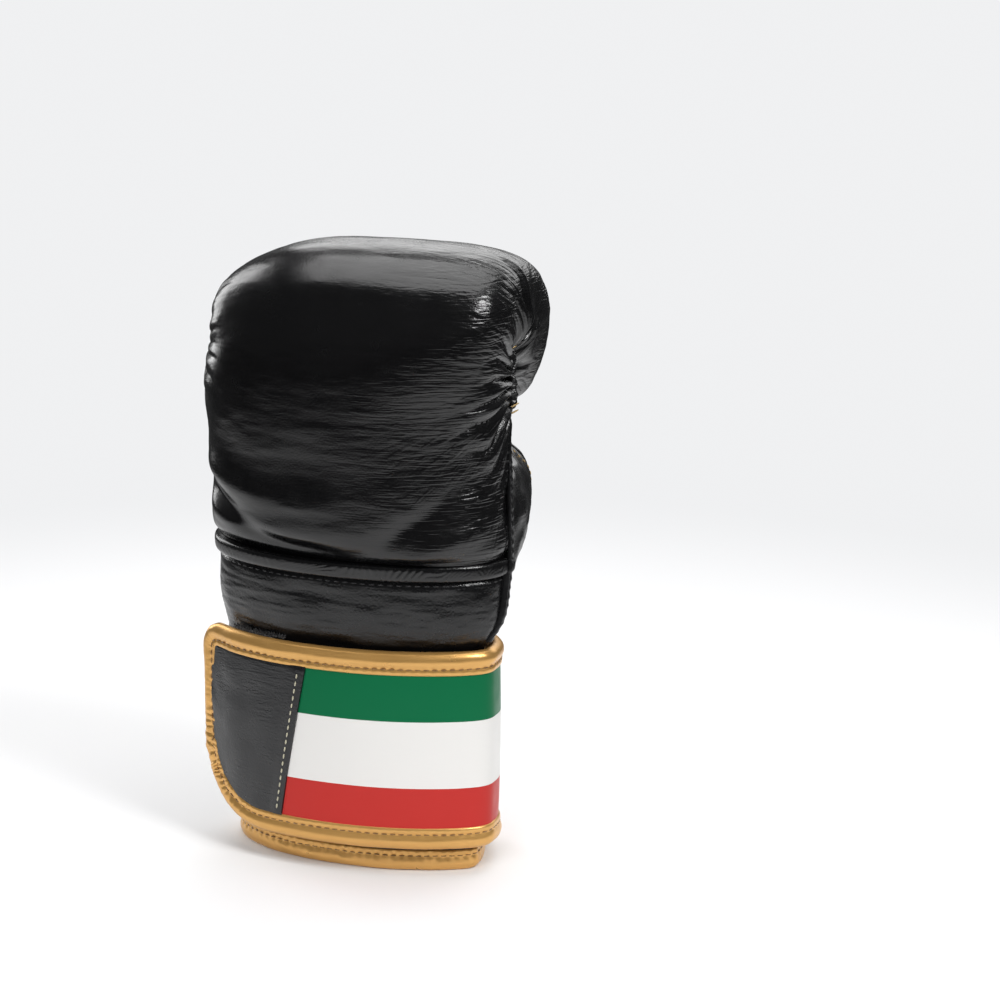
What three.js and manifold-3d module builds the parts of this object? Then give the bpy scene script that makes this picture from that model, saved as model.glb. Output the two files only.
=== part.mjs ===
// A left-hand bag glove of black leather with a striped wrist strap and gold edge binding.
// It stands on its cuff: fingers up (+Z), back of the hand towards -Y, palm towards +Y and
// thumb side towards +X. Millimetres. The origin is the middle of its footprint, on the floor.
import * as THREE from "three";
import { mergeVertices } from "three/addons/utils/BufferGeometryUtils.js";
import Module from "manifold-3d";

const wasm = await Module();
wasm.setup();

// Whole glove
const GLOVE_HEIGHT = 255;
const SEAM_GAP = 0.3;
const SQUARENESS = 2.15;

// Cuff, the open end that the hand goes in through
const CUFF_WIDTH = 113;
const CUFF_BACK_DEPTH = 30;
const CUFF_PALM_DEPTH = 28;
const CUFF_HEIGHT = 88;
const CUFF_WALL = 4;
const CUFF_LEAN = 1.5;
const CUFF_FOLD = 12;
const FOLD_SHARPNESS = 3;
const FOOT_TAPER = 6;
const FOOT_TAPER_HEIGHT = 60;

// Edge binding, a strip of gold leather folded over each raw edge
const BINDING_HEIGHT = 9;
const BINDING_PROUD = 1.6;
const BINDING_ROUNDING = 1;
const BINDING_CORNER_SHARE = 0.2;

// Padded band over the wrist and the welt along its top
const BAND_HEIGHT = 37;
const BAND_PADDING = 9;
const BAND_BULGE = 1.6;
const BAND_SINK_SHARE = 0.5;
const WELT_HEIGHT = 7;
const WELT_THICKNESS = 7;
const WELT_PROUD = 1.6;
const WELT_SINK_SHARE = 0.35;
const BAND_SLANT = 0.5;

// Hand part
const HAND_WIDTH = 126;
const HAND_LEAN = 4.5;
const BACK_DEPTH = 47.5;
const PALM_DEPTH = 32;
const PALM_WALL = 2.4;

// Fist pad: back of the hand, knuckles and the roll that hangs over the palm
const GATHER_DROP = 37;
const ROLL_DEPTH = 57;
const ROLL_DROP = 79;
const ROLL_TUCK = 3.5;
const ROLL_END_CURVE = 2.2;
const POCKET_DEPTH = 33;
const EDGE_WALL = 2.6;
const THUMB_OVERHANG_ANGLE = 0.7;
const PINKY_OVERHANG_ANGLE = 0.05;
const THUMB_CORNER_POWER = 3.4;
const PINKY_CORNER_POWER = 2.3;
const ROLL_END_GRIP = 3;
const CORNER_WALL_SHARE = 0.6;
const CORNER_DEPTH_SHARE = 0.8;
const PLEAT_COUNT = 9;
const PLEAT_HEIGHT = 3.2;
const PLEAT_REACH_SHARE = 0.3;
const THUMB_GATHER = 6;
const PINKY_GATHER = 3;
const GATHER_ARCH_SHARE = 0.25;

// Mesh vent between the roll's thumb end and the side seam
const VENT_HEIGHT = 28;
const VENT_WIDTH = 21;
const VENT_THICKNESS = 1.6;
const VENT_START_SHARE = 0.02;
const VENT_END_SHARE = 0.8;
const VENT_GAP_SHARE = 3;
const VENT_FACING = { x: 0.6, y: 0.8 };

// Leather strip on the thumb-side seam
const SIDE_WELT_WIDTH = 3.4;
const SIDE_WELT_THICKNESS = 2;

// Thumb sleeve, a short open tube sewn round an oval in the palm
const THUMB_FROM_SIDE = 22;
const THUMB_UP_SHARE = 0.323;
const THUMB_SEAM_WIDTH = 46;
const THUMB_HEIGHT_SHARE = 0.569;
const THUMB_LENGTH = 36;
const THUMB_RISE = 15;
const THUMB_SHIFT = 5;
const THUMB_MOUTH_WIDTH = 38;
const THUMB_MOUTH_HEIGHT = 44;
const THUMB_WALL = 2.2;
const THUMB_NECK = 22;
const THUMB_FACING = { x: -0.45, y: 0.8, z: 0.36 };
const THUMB_HEADING = { x: -0.5, y: 0.8, z: 0.3 };

// Slit in the palm side of the cuff, with a bound loop at its top
const SLIT_ACROSS = 6;
const SLIT_WIDTH = 7;
const SLIT_LOOP_HEIGHT = 22;
const SLIT_BINDING_WIDTH = 7.4;
const SLIT_BINDING_PROUD = 3.2;

// Strap, sewn to the palm beside the slit and wrapped round the thumb side over the back
const STRAP_HEIGHT = 88;
const STRAP_RISE = 11;
const STRAP_TOP_RISE = 7;
const STRAP_FLAP_RISE = 0.5;
const STRAP_ROOT_LENGTH = 70;
const STRAP_STANDOFF = 3.2;
const STRAP_FACE_GAP = 0.4;
const STRAP_CORE = 2.2;
const STRAP_FACE = 1;
const STRAP_WRAP_ANGLE = 2.45;
const STRAP_START_ANGLE = -1.885;
const STRAP_END_LENGTH = 16;
const STRAP_TOP_RADIUS = 9;
const STRAP_BOTTOM_RADIUS = 36;
const STRAP_END_PANEL = 38;
const STRAP_SEAM_SLANT = 9;
const TOP_STRIPE_SHARE = 0.31;
const BOTTOM_STRIPE_SHARE = 0.28;

// Hook-and-loop patch that holds the strap down on the back of the cuff
const PATCH_WIDTH = 66;
const PATCH_HEIGHT = 82;
const PATCH_THICKNESS = 1.1;
const PATCH_ABOVE_STRAP = 0.2;

// Facets along each form
const BACK_COLUMNS = 24;
const PAD_ROWS = 44;
const PAD_COLUMNS = 20;
const LOOP_STEPS = 10;
const OVAL_STEPS = 28;
const PALM_ROWS = 10;
const SLEEVE_ROWS = 6;
const SLEEVE_COLUMNS = 24;
const VENT_FACETS = 8;
const WELT_STEPS = 28;
const CUFF_STEPS = 56;
const STRIPE_COLUMNS = 48;
const END_PANEL_COLUMNS = 12;
const END_PANEL_ROWS = 4;
const PATCH_ROWS = 2;
const PATCH_COLUMNS = 20;
const EDGE_STEPS = 30;
const CORNER_STEPS = 6;
const WRAP_STEPS = 400;

const gatherHeight = GLOVE_HEIGHT - GATHER_DROP;
const ventBottom = gatherHeight - VENT_HEIGHT;
const bandTopMiddle = CUFF_HEIGHT + BAND_HEIGHT + WELT_HEIGHT;
const thumbAcross = HAND_WIDTH / 2 - THUMB_FROM_SIDE;
const thumbUp = CUFF_HEIGHT + (gatherHeight - CUFF_HEIGHT) * THUMB_UP_SHARE;
const thumbSeamHeight = (gatherHeight - CUFF_HEIGHT) * THUMB_HEIGHT_SHARE;

const leather = new THREE.MeshStandardMaterial({ color: 0x151517, roughness: 0.42 });
const palmLeather = new THREE.MeshStandardMaterial({ color: 0x232326, roughness: 0.5 });
const gold = new THREE.MeshStandardMaterial({ color: 0xb98a45, roughness: 0.35, metalness: 0.55 });
const green = new THREE.MeshStandardMaterial({ color: 0x00703f, roughness: 0.35 });
const white = new THREE.MeshStandardMaterial({ color: 0xe8e8e6, roughness: 0.4 });
const red = new THREE.MeshStandardMaterial({ color: 0xc4302f, roughness: 0.38 });
const netting = new THREE.MeshStandardMaterial({ color: 0x18181c, roughness: 0.85 });
const pile = new THREE.MeshStandardMaterial({ color: 0x0d0d0f, roughness: 0.95 });

// Body sections from the top of the cuff (up 0) to the gathers (up 1). Each column is a share
// of the way from the cuff's value to the hand's. fold is the share of CUFF_FOLD that is left.
const bodySections = [
  { up: 0, spread: 0, lean: 0, back: 0, palm: 0, fold: 1 },
  { up: 0.15, spread: 0.69, lean: 0.83, back: 0.24, palm: 0.6, fold: 0.75 },
  { up: 0.3, spread: 1, lean: 1, back: 0.43, palm: 1, fold: 0.5 },
  { up: 0.55, spread: 0.94, lean: 0.57, back: 0.8, palm: 0.85, fold: 0.2 },
  { up: 0.785, spread: 0.85, lean: 0, back: 0.98, palm: 0.75, fold: 0 },
  { up: 1, spread: 0.35, lean: 0.23, back: 1, palm: 0.7, fold: 0 },
];

// Middle line of the fist pad, from the welt up the back, over the knuckles and down the roll.
// out is a share of BACK_DEPTH (back) or ROLL_DEPTH (roll), drop a share of the pad's height
// below the top (back) or of ROLL_DROP (roll). pocket columns give the lining the same way,
// out of POCKET_DEPTH or of the palm's inner depth. overhang is a share of each side's own.
const padRows = [
  { side: "back", out: 0.79, drop: 1, pocketOut: 0.78, pocketDrop: 1, overhang: 0 },
  { side: "back", out: 0.875, drop: 0.832, pocketOut: 0.86, pocketDrop: 0.832, overhang: 0 },
  { side: "back", out: 0.947, drop: 0.664, pocketOut: 0.94, pocketDrop: 0.664, overhang: 0.05 },
  { side: "back", out: 0.99, drop: 0.496, pocketOut: 1, pocketDrop: 0.51, overhang: 0.2 },
  { side: "back", out: 1, drop: 0.359, pocketOut: 1, pocketDrop: 0.4, overhang: 0.5 },
  { side: "back", out: 0.95, drop: 0.244, pocketOut: 0.98, pocketDrop: 0.31, overhang: 0.85 },
  { side: "back", out: 0.8, drop: 0.108, pocketOut: 0.88, pocketDrop: 0.245, overhang: 1 },
  { side: "back", out: 0.5, drop: 0.027, pocketOut: 0.64, pocketDrop: 0.2, overhang: 1 },
  { side: "back", out: 0.12, drop: 0, pocketOut: 0.24, pocketDrop: 0.176, overhang: 1 },
  { side: "roll", out: 0.28, drop: 0.015, pocketOut: 0.21, pocketDrop: 0.292, overhang: 1 },
  { side: "roll", out: 0.62, drop: 0.09, pocketOut: 0.6, pocketDrop: 0.33, overhang: 1 },
  { side: "roll", out: 0.86, drop: 0.245, pocketOut: 0.87, pocketDrop: 0.42, overhang: 1 },
  { side: "roll", out: 0.985, drop: 0.44, pocketOut: 0.985, pocketDrop: 0.54, overhang: 1 },
  { side: "roll", out: 0.99, drop: 0.66, pocketOut: 1, pocketDrop: 0.67, overhang: 1 },
  { side: "roll", out: 0.9, drop: 0.86, pocketOut: 1, pocketDrop: 0.77, overhang: 0.9 },
  { side: "roll", out: 0.74, drop: 0.97, pocketOut: 1, pocketDrop: 0.86, overhang: 0.7 },
  { side: "roll", out: 0.6, drop: 1, pocketOut: 1, pocketDrop: 0.92, overhang: 0.35 },
];
const GATHER_START_ROW = 5;
const GATHER_END_ROW = 11.5;

const lerp = THREE.MathUtils.lerp;
const smooth = (t) => THREE.MathUtils.smoothstep(t, 0, 1);

function signedPower(value, power) {
  return Math.sign(value) * Math.abs(value) ** power;
}

// Reads one column of a table at a value of its key column, with smooth curves between rows.
function tableValue(rows, key, at, column) {
  const last = rows.length - 1;
  if (at <= rows[0][key]) return rows[0][column];
  if (at >= rows[last][key]) return rows[last][column];
  let i = 0;
  while (rows[i + 1][key] < at) i++;
  const slope = (k) => {
    if (k === 0 || k === last) return 0;
    return (rows[k + 1][column] - rows[k - 1][column]) / (rows[k + 1][key] - rows[k - 1][key]);
  };
  const span = rows[i + 1][key] - rows[i][key];
  const t = (at - rows[i][key]) / span;
  const rise = t * t * (3 - 2 * t);
  const leave = t * (1 - t) * (1 - t) * span * slope(i);
  const arrive = t * t * (t - 1) * span * slope(i + 1);
  return lerp(rows[i][column], rows[i + 1][column], rise) + leave + arrive;
}

// Half width, sideways lean and the two depths of the glove's body at a height.
function bodyAt(z) {
  const up = (z - CUFF_HEIGHT) / (gatherHeight - CUFF_HEIGHT);
  const share = (column) => tableValue(bodySections, "up", up, column);
  const taper = FOOT_TAPER * (1 - smooth(z / FOOT_TAPER_HEIGHT));
  return {
    half: (lerp(CUFF_WIDTH, HAND_WIDTH, share("spread")) - taper) / 2,
    lean: lerp(CUFF_LEAN, HAND_LEAN, share("lean")) + taper / 2,
    fold: CUFF_FOLD * share("fold"),
    back: lerp(CUFF_BACK_DEPTH, BACK_DEPTH, share("back")),
    palm: lerp(CUFF_PALM_DEPTH, PALM_DEPTH, share("palm")),
  };
}

// A point on the body's outside. angle runs from 0 at the thumb-side seam over the back to PI
// at the little-finger seam, and on over the palm to 2 PI. offset is outward.
function bodyPoint(z, angle, offset) {
  const body = bodyAt(z);
  const across = signedPower(Math.cos(angle), 2 / SQUARENESS);
  const deep = signedPower(Math.sin(angle), 2 / SQUARENESS);
  const depth = deep > 0 ? body.back : body.palm;
  const fold = foldShift(body, across);
  const room = deep > 0 ? -fold * deep : fold * deep;
  const y = -deep * (depth + offset) - fold - room;
  return new THREE.Vector3(body.lean + across * (body.half + offset), y, z);
}

// The thumb-side fold lies nearer the back than the little-finger side does.
function foldShift(body, across) {
  return across > 0 ? body.fold * across ** FOLD_SHARPNESS : 0;
}

// How far the palm's outside stands from the seam plane at a place across and up.
function palmSurface(x, z, offset) {
  const body = bodyAt(z);
  const across = THREE.MathUtils.clamp((x - body.lean) / (body.half + offset), -1, 1);
  const deep = (1 - Math.abs(across) ** SQUARENESS) ** (1 / SQUARENESS);
  return deep * (body.palm + offset) - foldShift(body, across) * (1 - deep);
}

// A closed solid between an outer and an inner sheet. Each sheet is a function of two shares,
// along (rows) and across (columns). A tube's columns meet round the back.
function shellGeometry(rows, columns, outer, inner, isTube = false) {
  const width = isTube ? columns : columns + 1;
  const positions = [];
  for (const sheet of [outer, inner]) {
    for (let i = 0; i <= rows; i++) {
      for (let j = 0; j < width; j++) positions.push(...sheet(i / rows, j / columns).toArray());
    }
  }
  const faces = [];
  const layer = (rows + 1) * width;
  const at = (side, i, j) => side * layer + i * width + (j % width);
  const quad = (a, b, c, d) => faces.push(a, b, c, a, c, d);
  for (let i = 0; i < rows; i++) {
    for (let j = 0; j < columns; j++) {
      quad(at(0, i, j), at(0, i, j + 1), at(0, i + 1, j + 1), at(0, i + 1, j));
      quad(at(1, i, j), at(1, i + 1, j), at(1, i + 1, j + 1), at(1, i, j + 1));
    }
  }
  for (let j = 0; j < columns; j++) {
    quad(at(0, 0, j), at(1, 0, j), at(1, 0, j + 1), at(0, 0, j + 1));
    quad(at(0, rows, j), at(0, rows, j + 1), at(1, rows, j + 1), at(1, rows, j));
  }
  for (let i = 0; i < rows && !isTube; i++) {
    quad(at(0, i, 0), at(0, i + 1, 0), at(1, i + 1, 0), at(1, i, 0));
    quad(at(0, i, columns), at(1, i, columns), at(1, i + 1, columns), at(0, i + 1, columns));
  }
  const geometry = new THREE.BufferGeometry();
  geometry.setAttribute("position", new THREE.Float32BufferAttribute(positions, 3));
  geometry.setIndex(faces);
  return facingOut(geometry);
}

// A closed bar along a run of sections, each a ring of corner points in the same order.
function barGeometry(sections) {
  const corners = sections[0].length;
  const positions = sections.flat().flatMap((point) => point.toArray());
  const faces = [];
  for (let i = 0; i < sections.length - 1; i++) {
    for (let k = 0; k < corners; k++) {
      const a = i * corners + k;
      const b = i * corners + ((k + 1) % corners);
      faces.push(a, b, b + corners, a, b + corners, a + corners);
    }
  }
  const end = (sections.length - 1) * corners;
  for (let k = 1; k < corners - 1; k++) faces.push(0, k + 1, k, end, end + k, end + k + 1);
  const geometry = new THREE.BufferGeometry();
  geometry.setAttribute("position", new THREE.Float32BufferAttribute(positions, 3));
  geometry.setIndex(faces);
  return facingOut(geometry);
}

// Turns a closed surface so that its faces point out.
function facingOut(geometry) {
  const p = geometry.attributes.position;
  const index = geometry.index.array;
  const [a, b, c] = [new THREE.Vector3(), new THREE.Vector3(), new THREE.Vector3()];
  let volume = 0;
  for (let i = 0; i < index.length; i += 3) {
    a.fromBufferAttribute(p, index[i]);
    b.fromBufferAttribute(p, index[i + 1]);
    c.fromBufferAttribute(p, index[i + 2]);
    volume += a.dot(b.cross(c));
  }
  if (volume < 0) {
    for (let i = 0; i < index.length; i += 3) [index[i + 1], index[i + 2]] = [index[i + 2], index[i + 1]];
  }
  geometry.computeVertexNormals();
  return geometry;
}

function solidOf(geometry) {
  const bare = geometry.clone();
  bare.deleteAttribute("normal");
  if (bare.attributes.uv) bare.deleteAttribute("uv");
  const merged = mergeVertices(bare, 1e-4);
  const mesh = new wasm.Mesh({
    numProp: 3,
    vertProperties: merged.attributes.position.array,
    triVerts: new Uint32Array(merged.index.array),
  });
  return new wasm.Manifold(mesh);
}

function geometryOf(solid) {
  const mesh = solid.getMesh();
  const geometry = new THREE.BufferGeometry();
  geometry.setAttribute("position", new THREE.BufferAttribute(mesh.vertProperties, 3));
  geometry.setIndex(new THREE.BufferAttribute(mesh.triVerts, 1));
  geometry.computeVertexNormals();
  return geometry;
}

const glove = new THREE.Group();

function addPiece(name, geometry, material) {
  const mesh = new THREE.Mesh(geometry, material);
  mesh.name = name;
  glove.add(mesh);
}

// Height of the welt's top edge. It slants down towards the thumb side.
function bandTop(x) {
  return bandTopMiddle - (BAND_SLANT * x) / (HAND_WIDTH / 2);
}

// A shell over the back of the hand between two edges, seam to seam. The edges are heights
// for each place across.
function backShell(columns, rows, low, high, outside, padding) {
  const sheet = (inset) => (v, u) => {
    const angle = u * Math.PI;
    const offset = outside(v) - inset;
    const { x } = bodyPoint(lerp(low(0), high(0), v), angle, offset);
    const point = bodyPoint(lerp(low(x), high(x), v), angle, offset);
    point.y -= SEAM_GAP / 2;
    return point;
  };
  return shellGeometry(rows, columns, sheet(0), sheet(padding));
}

// How far the padded band and its welt stand out, from their lower edge (v 0) to the upper.
function bandProud(v) {
  return BAND_BULGE * (Math.sin(Math.PI * v) - BAND_SINK_SHARE);
}

function weltProud(v) {
  return WELT_PROUD * (Math.sin(Math.PI * v) - WELT_SINK_SHARE);
}

function makeCuffBack() {
  const low = () => BINDING_HEIGHT + SEAM_GAP;
  const high = () => CUFF_HEIGHT;
  return backShell(BACK_COLUMNS, 2, low, high, () => 0, CUFF_WALL);
}

function makeWristBand() {
  const low = () => CUFF_HEIGHT + SEAM_GAP;
  const high = (x) => bandTop(x) - WELT_HEIGHT - SEAM_GAP;
  return backShell(BACK_COLUMNS, 5, low, high, bandProud, BAND_PADDING);
}

function makeBandWelt() {
  const low = (x) => bandTop(x) - WELT_HEIGHT;
  const high = (x) => bandTop(x) - SEAM_GAP;
  return backShell(BACK_COLUMNS, 4, low, high, weltProud, WELT_THICKNESS);
}

// The fist pad's middle line, outside and lining, as smooth curves in the plane x = 0.
const padHeight = GLOVE_HEIGHT - bandTopMiddle;
const rollEnd = GLOVE_HEIGHT - ROLL_DROP + ROLL_TUCK;

function padCurve(outColumn, dropColumn, backDepth, rollDepth, endDepth) {
  const points = padRows.map((row) => {
    const isBack = row.side === "back";
    const y = row[outColumn] * (isBack ? -backDepth : rollDepth);
    const z = GLOVE_HEIGHT - row[dropColumn] * (isBack ? padHeight : ROLL_DROP);
    return new THREE.Vector3(0, y, z);
  });
  points.push(new THREE.Vector3(0, endDepth, rollEnd));
  return new THREE.CatmullRomCurve3(points);
}

const palmAtRollEnd = palmSurface(0, rollEnd, 0);
const liningAtRollEnd = palmAtRollEnd - PALM_WALL;
const padOutside = padCurve("out", "drop", BACK_DEPTH, ROLL_DEPTH, palmAtRollEnd);
const padLining = padCurve("pocketOut", "pocketDrop", POCKET_DEPTH, liningAtRollEnd, liningAtRollEnd);

const overhangRows = padRows.map((row, i) => ({ row: i, overhang: row.overhang }));
overhangRows.push({ row: padRows.length, overhang: 0 });

// Where the pad is sewn at the side: up the seam, round the gather, and down the roll's end.
// side is 1 at the thumb and -1 at the little finger, row counts along padRows.
function padEdge(side, row) {
  const gather = side > 0 ? THUMB_GATHER : PINKY_GATHER;
  if (row <= GATHER_START_ROW) {
    const z = lerp(bandTop((side * HAND_WIDTH) / 2), gatherHeight, row / GATHER_START_ROW);
    const body = bodyAt(z);
    const fold = side > 0 ? body.fold : 0;
    return new THREE.Vector3(body.lean + side * body.half, -fold - SEAM_GAP / 2, z);
  }
  const top = bodyAt(gatherHeight);
  const seam = new THREE.Vector3(top.lean + side * top.half, gather, gatherHeight);
  if (row <= GATHER_END_ROW) {
    const share = (row - GATHER_START_ROW) / (GATHER_END_ROW - GATHER_START_ROW);
    seam.y = lerp(-SEAM_GAP / 2, gather, share);
    seam.z += Math.sin(Math.PI * share) * gather * GATHER_ARCH_SHARE;
    return seam;
  }
  const share = (row - GATHER_END_ROW) / (padRows.length - GATHER_END_ROW);
  const z = lerp(gatherHeight, ventBottom, share);
  const body = bodyAt(z);
  if (side < 0) {
    const y = lerp(gather, SEAM_GAP / 2, smooth(share));
    return new THREE.Vector3(body.lean - body.half, y, z);
  }
  const low = bodyAt(ventBottom);
  const corner = low.lean + low.half - VENT_WIDTH;
  const end = new THREE.Vector3(corner, palmSurface(corner, ventBottom, 0), ventBottom);
  return seam.lerp(end, share);
}

// A point on an arch from the thumb-side edge through the crown to the little-finger edge.
// With an overhang the arch bulges out past its edges before it comes back over.
function archPoint(thumbEdge, crown, pinkyEdge, share, bulge) {
  const angle = lerp(-THUMB_OVERHANG_ANGLE * bulge, Math.PI + PINKY_OVERHANG_ANGLE * bulge, share);
  const isThumb = Math.cos(angle) > 0;
  const power = 2 / lerp(SQUARENESS, isThumb ? THUMB_CORNER_POWER : PINKY_CORNER_POWER, bulge);
  const overhang = bulge * (isThumb ? THUMB_OVERHANG_ANGLE : PINKY_OVERHANG_ANGLE);
  const across = signedPower(Math.cos(angle), power) / Math.cos(overhang) ** power;
  const tuck = Math.sin(overhang) ** power;
  const out = (signedPower(Math.sin(angle), power) + tuck) / (1 + tuck);
  const middle = thumbEdge.clone().lerp(pinkyEdge, 0.5);
  const half = thumbEdge.clone().sub(pinkyEdge).multiplyScalar(0.5);
  const rise = crown.clone().sub(middle);
  return middle.addScaledVector(half, across).addScaledVector(rise, out);
}

// Soft pleats that fan out from the gathers at each end of the roll.
function pleatRise(row, share) {
  if (row <= GATHER_START_ROW || row >= padRows.length) return 0;
  const along = (row - GATHER_START_ROW) / (padRows.length - GATHER_START_ROW);
  const wave = 0.5 - 0.5 * Math.cos(2 * Math.PI * PLEAT_COUNT * along);
  const fromEdge = Math.min(share, 1 - share) / PLEAT_REACH_SHARE;
  if (fromEdge >= 1) return 0;
  return PLEAT_HEIGHT * wave * Math.sin(Math.PI * fromEdge);
}

// Height of the line across the palm where the roll ends. It rises to both sides.
function rollEndHeight(x) {
  const low = bodyAt(ventBottom);
  const thumb = low.lean + low.half - VENT_WIDTH;
  const pinky = low.lean - low.half;
  const away = Math.abs(x - (thumb + pinky) / 2) / ((thumb - pinky) / 2);
  return lerp(rollEnd, ventBottom, Math.min(away, 1) ** ROLL_END_CURVE);
}

// Brings the last rows of a sheet down onto the palm along the roll's end line.
function settleOnPalm(point, row, offset) {
  const share = smooth((row - GATHER_END_ROW) / (padRows.length - GATHER_END_ROW));
  point.z = lerp(point.z, rollEndHeight(point.x), share ** ROLL_END_GRIP);
  const surface = palmSurface(point.x, point.z, 0) + offset + SEAM_GAP / 2;
  point.y = share < 1 ? Math.max(point.y, surface) : surface;
}

function padPoint(along, share) {
  const row = along * padRows.length;
  const crown = padOutside.getPoint(along);
  crown.x = bodyAt(Math.min(crown.z, gatherHeight)).lean;
  const bulge = Math.max(tableValue(overhangRows, "row", row, "overhang"), 0);
  const point = archPoint(padEdge(1, row), crown, padEdge(-1, row), share, bulge);
  const core = new THREE.Vector3(crown.x, 0, Math.min(point.z, gatherHeight));
  const out = point.clone().sub(core).normalize();
  point.addScaledVector(out, pleatRise(row, share));
  if (row > GATHER_END_ROW) settleOnPalm(point, row, 0);
  if (along === 0) point.z = bandTop(point.x);
  return point;
}

function liningPoint(along, share) {
  const row = along * padRows.length;
  const crown = padLining.getPoint(along);
  crown.x = bodyAt(Math.min(crown.z, gatherHeight)).lean;
  const edges = [1, -1].map((side) => {
    const edge = padEdge(side, row);
    const isByVent = row > GATHER_END_ROW && side > 0;
    edge.x -= side * EDGE_WALL * (isByVent ? CORNER_WALL_SHARE : 1);
    if (isByVent) edge.y -= EDGE_WALL * CORNER_DEPTH_SHARE * smooth(row - GATHER_END_ROW);
    return edge;
  });
  const point = archPoint(edges[0], crown, edges[1], share, 0);
  if (along === 1) settleOnPalm(point, row, -PALM_WALL);
  if (along === 0) point.z = bandTop(point.x);
  return point;
}

function makeFistPad() {
  return shellGeometry(PAD_ROWS, PAD_COLUMNS, padPoint, liningPoint);
}

// A flat outline across and up, made a prism that cuts right through the palm.
function palmCutter(points) {
  const shape = new THREE.Shape(points.map(([x, z]) => new THREE.Vector2(x, z)));
  const geometry = new THREE.ExtrudeGeometry(shape, { depth: PALM_DEPTH * 2, bevelEnabled: false });
  geometry.rotateX(Math.PI / 2);
  geometry.translate(0, PALM_DEPTH * 2 + SEAM_GAP, 0);
  return solidOf(geometry);
}

// Height where the loop's binding meets the strap's upper edge.
function slitFoot() {
  return strapHigh(strapRoot + SLIT_WIDTH + 2 * SLIT_BINDING_WIDTH) + SEAM_GAP;
}

function slitTop() {
  return STRAP_HEIGHT + SLIT_LOOP_HEIGHT;
}

// The slit's edge from its little-finger side up, over and down the thumb side, grown outward.
function slitOutline(grow, lowLeft, lowRight) {
  const reach = SLIT_WIDTH / 2 + grow;
  const points = [[SLIT_ACROSS - reach, lowLeft]];
  for (let k = 0; k <= LOOP_STEPS; k++) {
    const angle = Math.PI * (1 - k / LOOP_STEPS);
    points.push([SLIT_ACROSS + reach * Math.cos(angle), slitTop() + reach * Math.sin(angle)]);
  }
  for (let k = 0; k <= 4; k++) {
    points.push([SLIT_ACROSS + reach, lerp(slitFoot(), lowRight, k / 4)]);
  }
  return points;
}

function thumbOval(grow, turn) {
  const x = thumbAcross + (THUMB_SEAM_WIDTH / 2 + grow) * Math.cos(turn);
  const z = thumbUp + (thumbSeamHeight / 2 + grow) * Math.sin(turn);
  return [x, z];
}

function makePalmPanel() {
  const sheet = (offset) => (v, u) => {
    const angle = Math.PI * (1 + u);
    const { x } = bodyPoint(ventBottom, angle, offset);
    const z = lerp(BINDING_HEIGHT + SEAM_GAP, rollEndHeight(x) - SEAM_GAP, v);
    const point = bodyPoint(z, angle, offset);
    point.y += SEAM_GAP / 2;
    return point;
  };
  let panel = solidOf(shellGeometry(PALM_ROWS, BACK_COLUMNS, sheet(0), sheet(-PALM_WALL)));
  const binding = SLIT_BINDING_WIDTH + SEAM_GAP;
  const slit = slitOutline(binding, STRAP_HEIGHT, -BINDING_HEIGHT);
  slit.unshift([SLIT_ACROSS - SLIT_WIDTH / 2, STRAP_HEIGHT]);
  slit.unshift([SLIT_ACROSS - SLIT_WIDTH / 2, -BINDING_HEIGHT]);
  panel = panel.subtract(palmCutter(slit));
  const oval = [];
  for (let k = 0; k < OVAL_STEPS; k++) oval.push(thumbOval(SEAM_GAP, (2 * Math.PI * k) / OVAL_STEPS));
  return geometryOf(panel.subtract(palmCutter(oval)));
}

function makeThumbSleeve() {
  const facing = new THREE.Vector3().copy(THUMB_FACING).normalize();
  const side = new THREE.Vector3(1, 0, 0).addScaledVector(facing, -facing.x).normalize();
  const up = side.clone().cross(facing).normalize();
  const heading = new THREE.Vector3().copy(THUMB_HEADING).normalize();
  const root = palmSurface(thumbAcross, thumbUp, 0);
  const mouth = new THREE.Vector3(thumbAcross - THUMB_SHIFT, root + THUMB_LENGTH, thumbUp + THUMB_RISE);
  const sheet = (inset) => (v, u) => {
    const turn = 2 * Math.PI * u;
    const [x, z] = thumbOval(-inset, turn);
    const base = new THREE.Vector3(x, palmSurface(x, z, -inset), z);
    const lip = mouth.clone();
    lip.addScaledVector(side, (THUMB_MOUTH_WIDTH / 2 - inset) * Math.cos(turn));
    lip.addScaledVector(up, (THUMB_MOUTH_HEIGHT / 2 - inset) * Math.sin(turn));
    const neck = lip.clone().addScaledVector(heading, -THUMB_NECK);
    return new THREE.QuadraticBezierCurve3(base, neck, lip).getPoint(v);
  };
  return shellGeometry(SLEEVE_ROWS, SLEEVE_COLUMNS, sheet(0), sheet(THUMB_WALL), true);
}

function makeVentMesh() {
  const towardsSeam = (v) => {
    const z = lerp(ventBottom, gatherHeight, v);
    const body = bodyAt(z);
    return new THREE.Vector3(body.lean + body.half, VENT_THICKNESS + SEAM_GAP, z);
  };
  const towardsRoll = (v) => padPoint(lerp(1, GATHER_END_ROW / padRows.length, v), 0);
  const sheet = (inset) => (along, share) => {
    const v = lerp(VENT_START_SHARE, VENT_END_SHARE, along);
    const roll = towardsRoll(v);
    const seam = towardsSeam(v);
    const gap = (SEAM_GAP * VENT_GAP_SHARE) / roll.distanceTo(seam);
    const point = roll.lerp(seam, lerp(gap, 1 - gap, share));
    const crown = 2 * share * (1 - share) * VENT_THICKNESS;
    point.x += crown - inset * VENT_FACING.x;
    point.y += crown - inset * VENT_FACING.y;
    return point;
  };
  return shellGeometry(VENT_FACETS, VENT_FACETS, sheet(0), sheet(VENT_THICKNESS));
}

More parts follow.
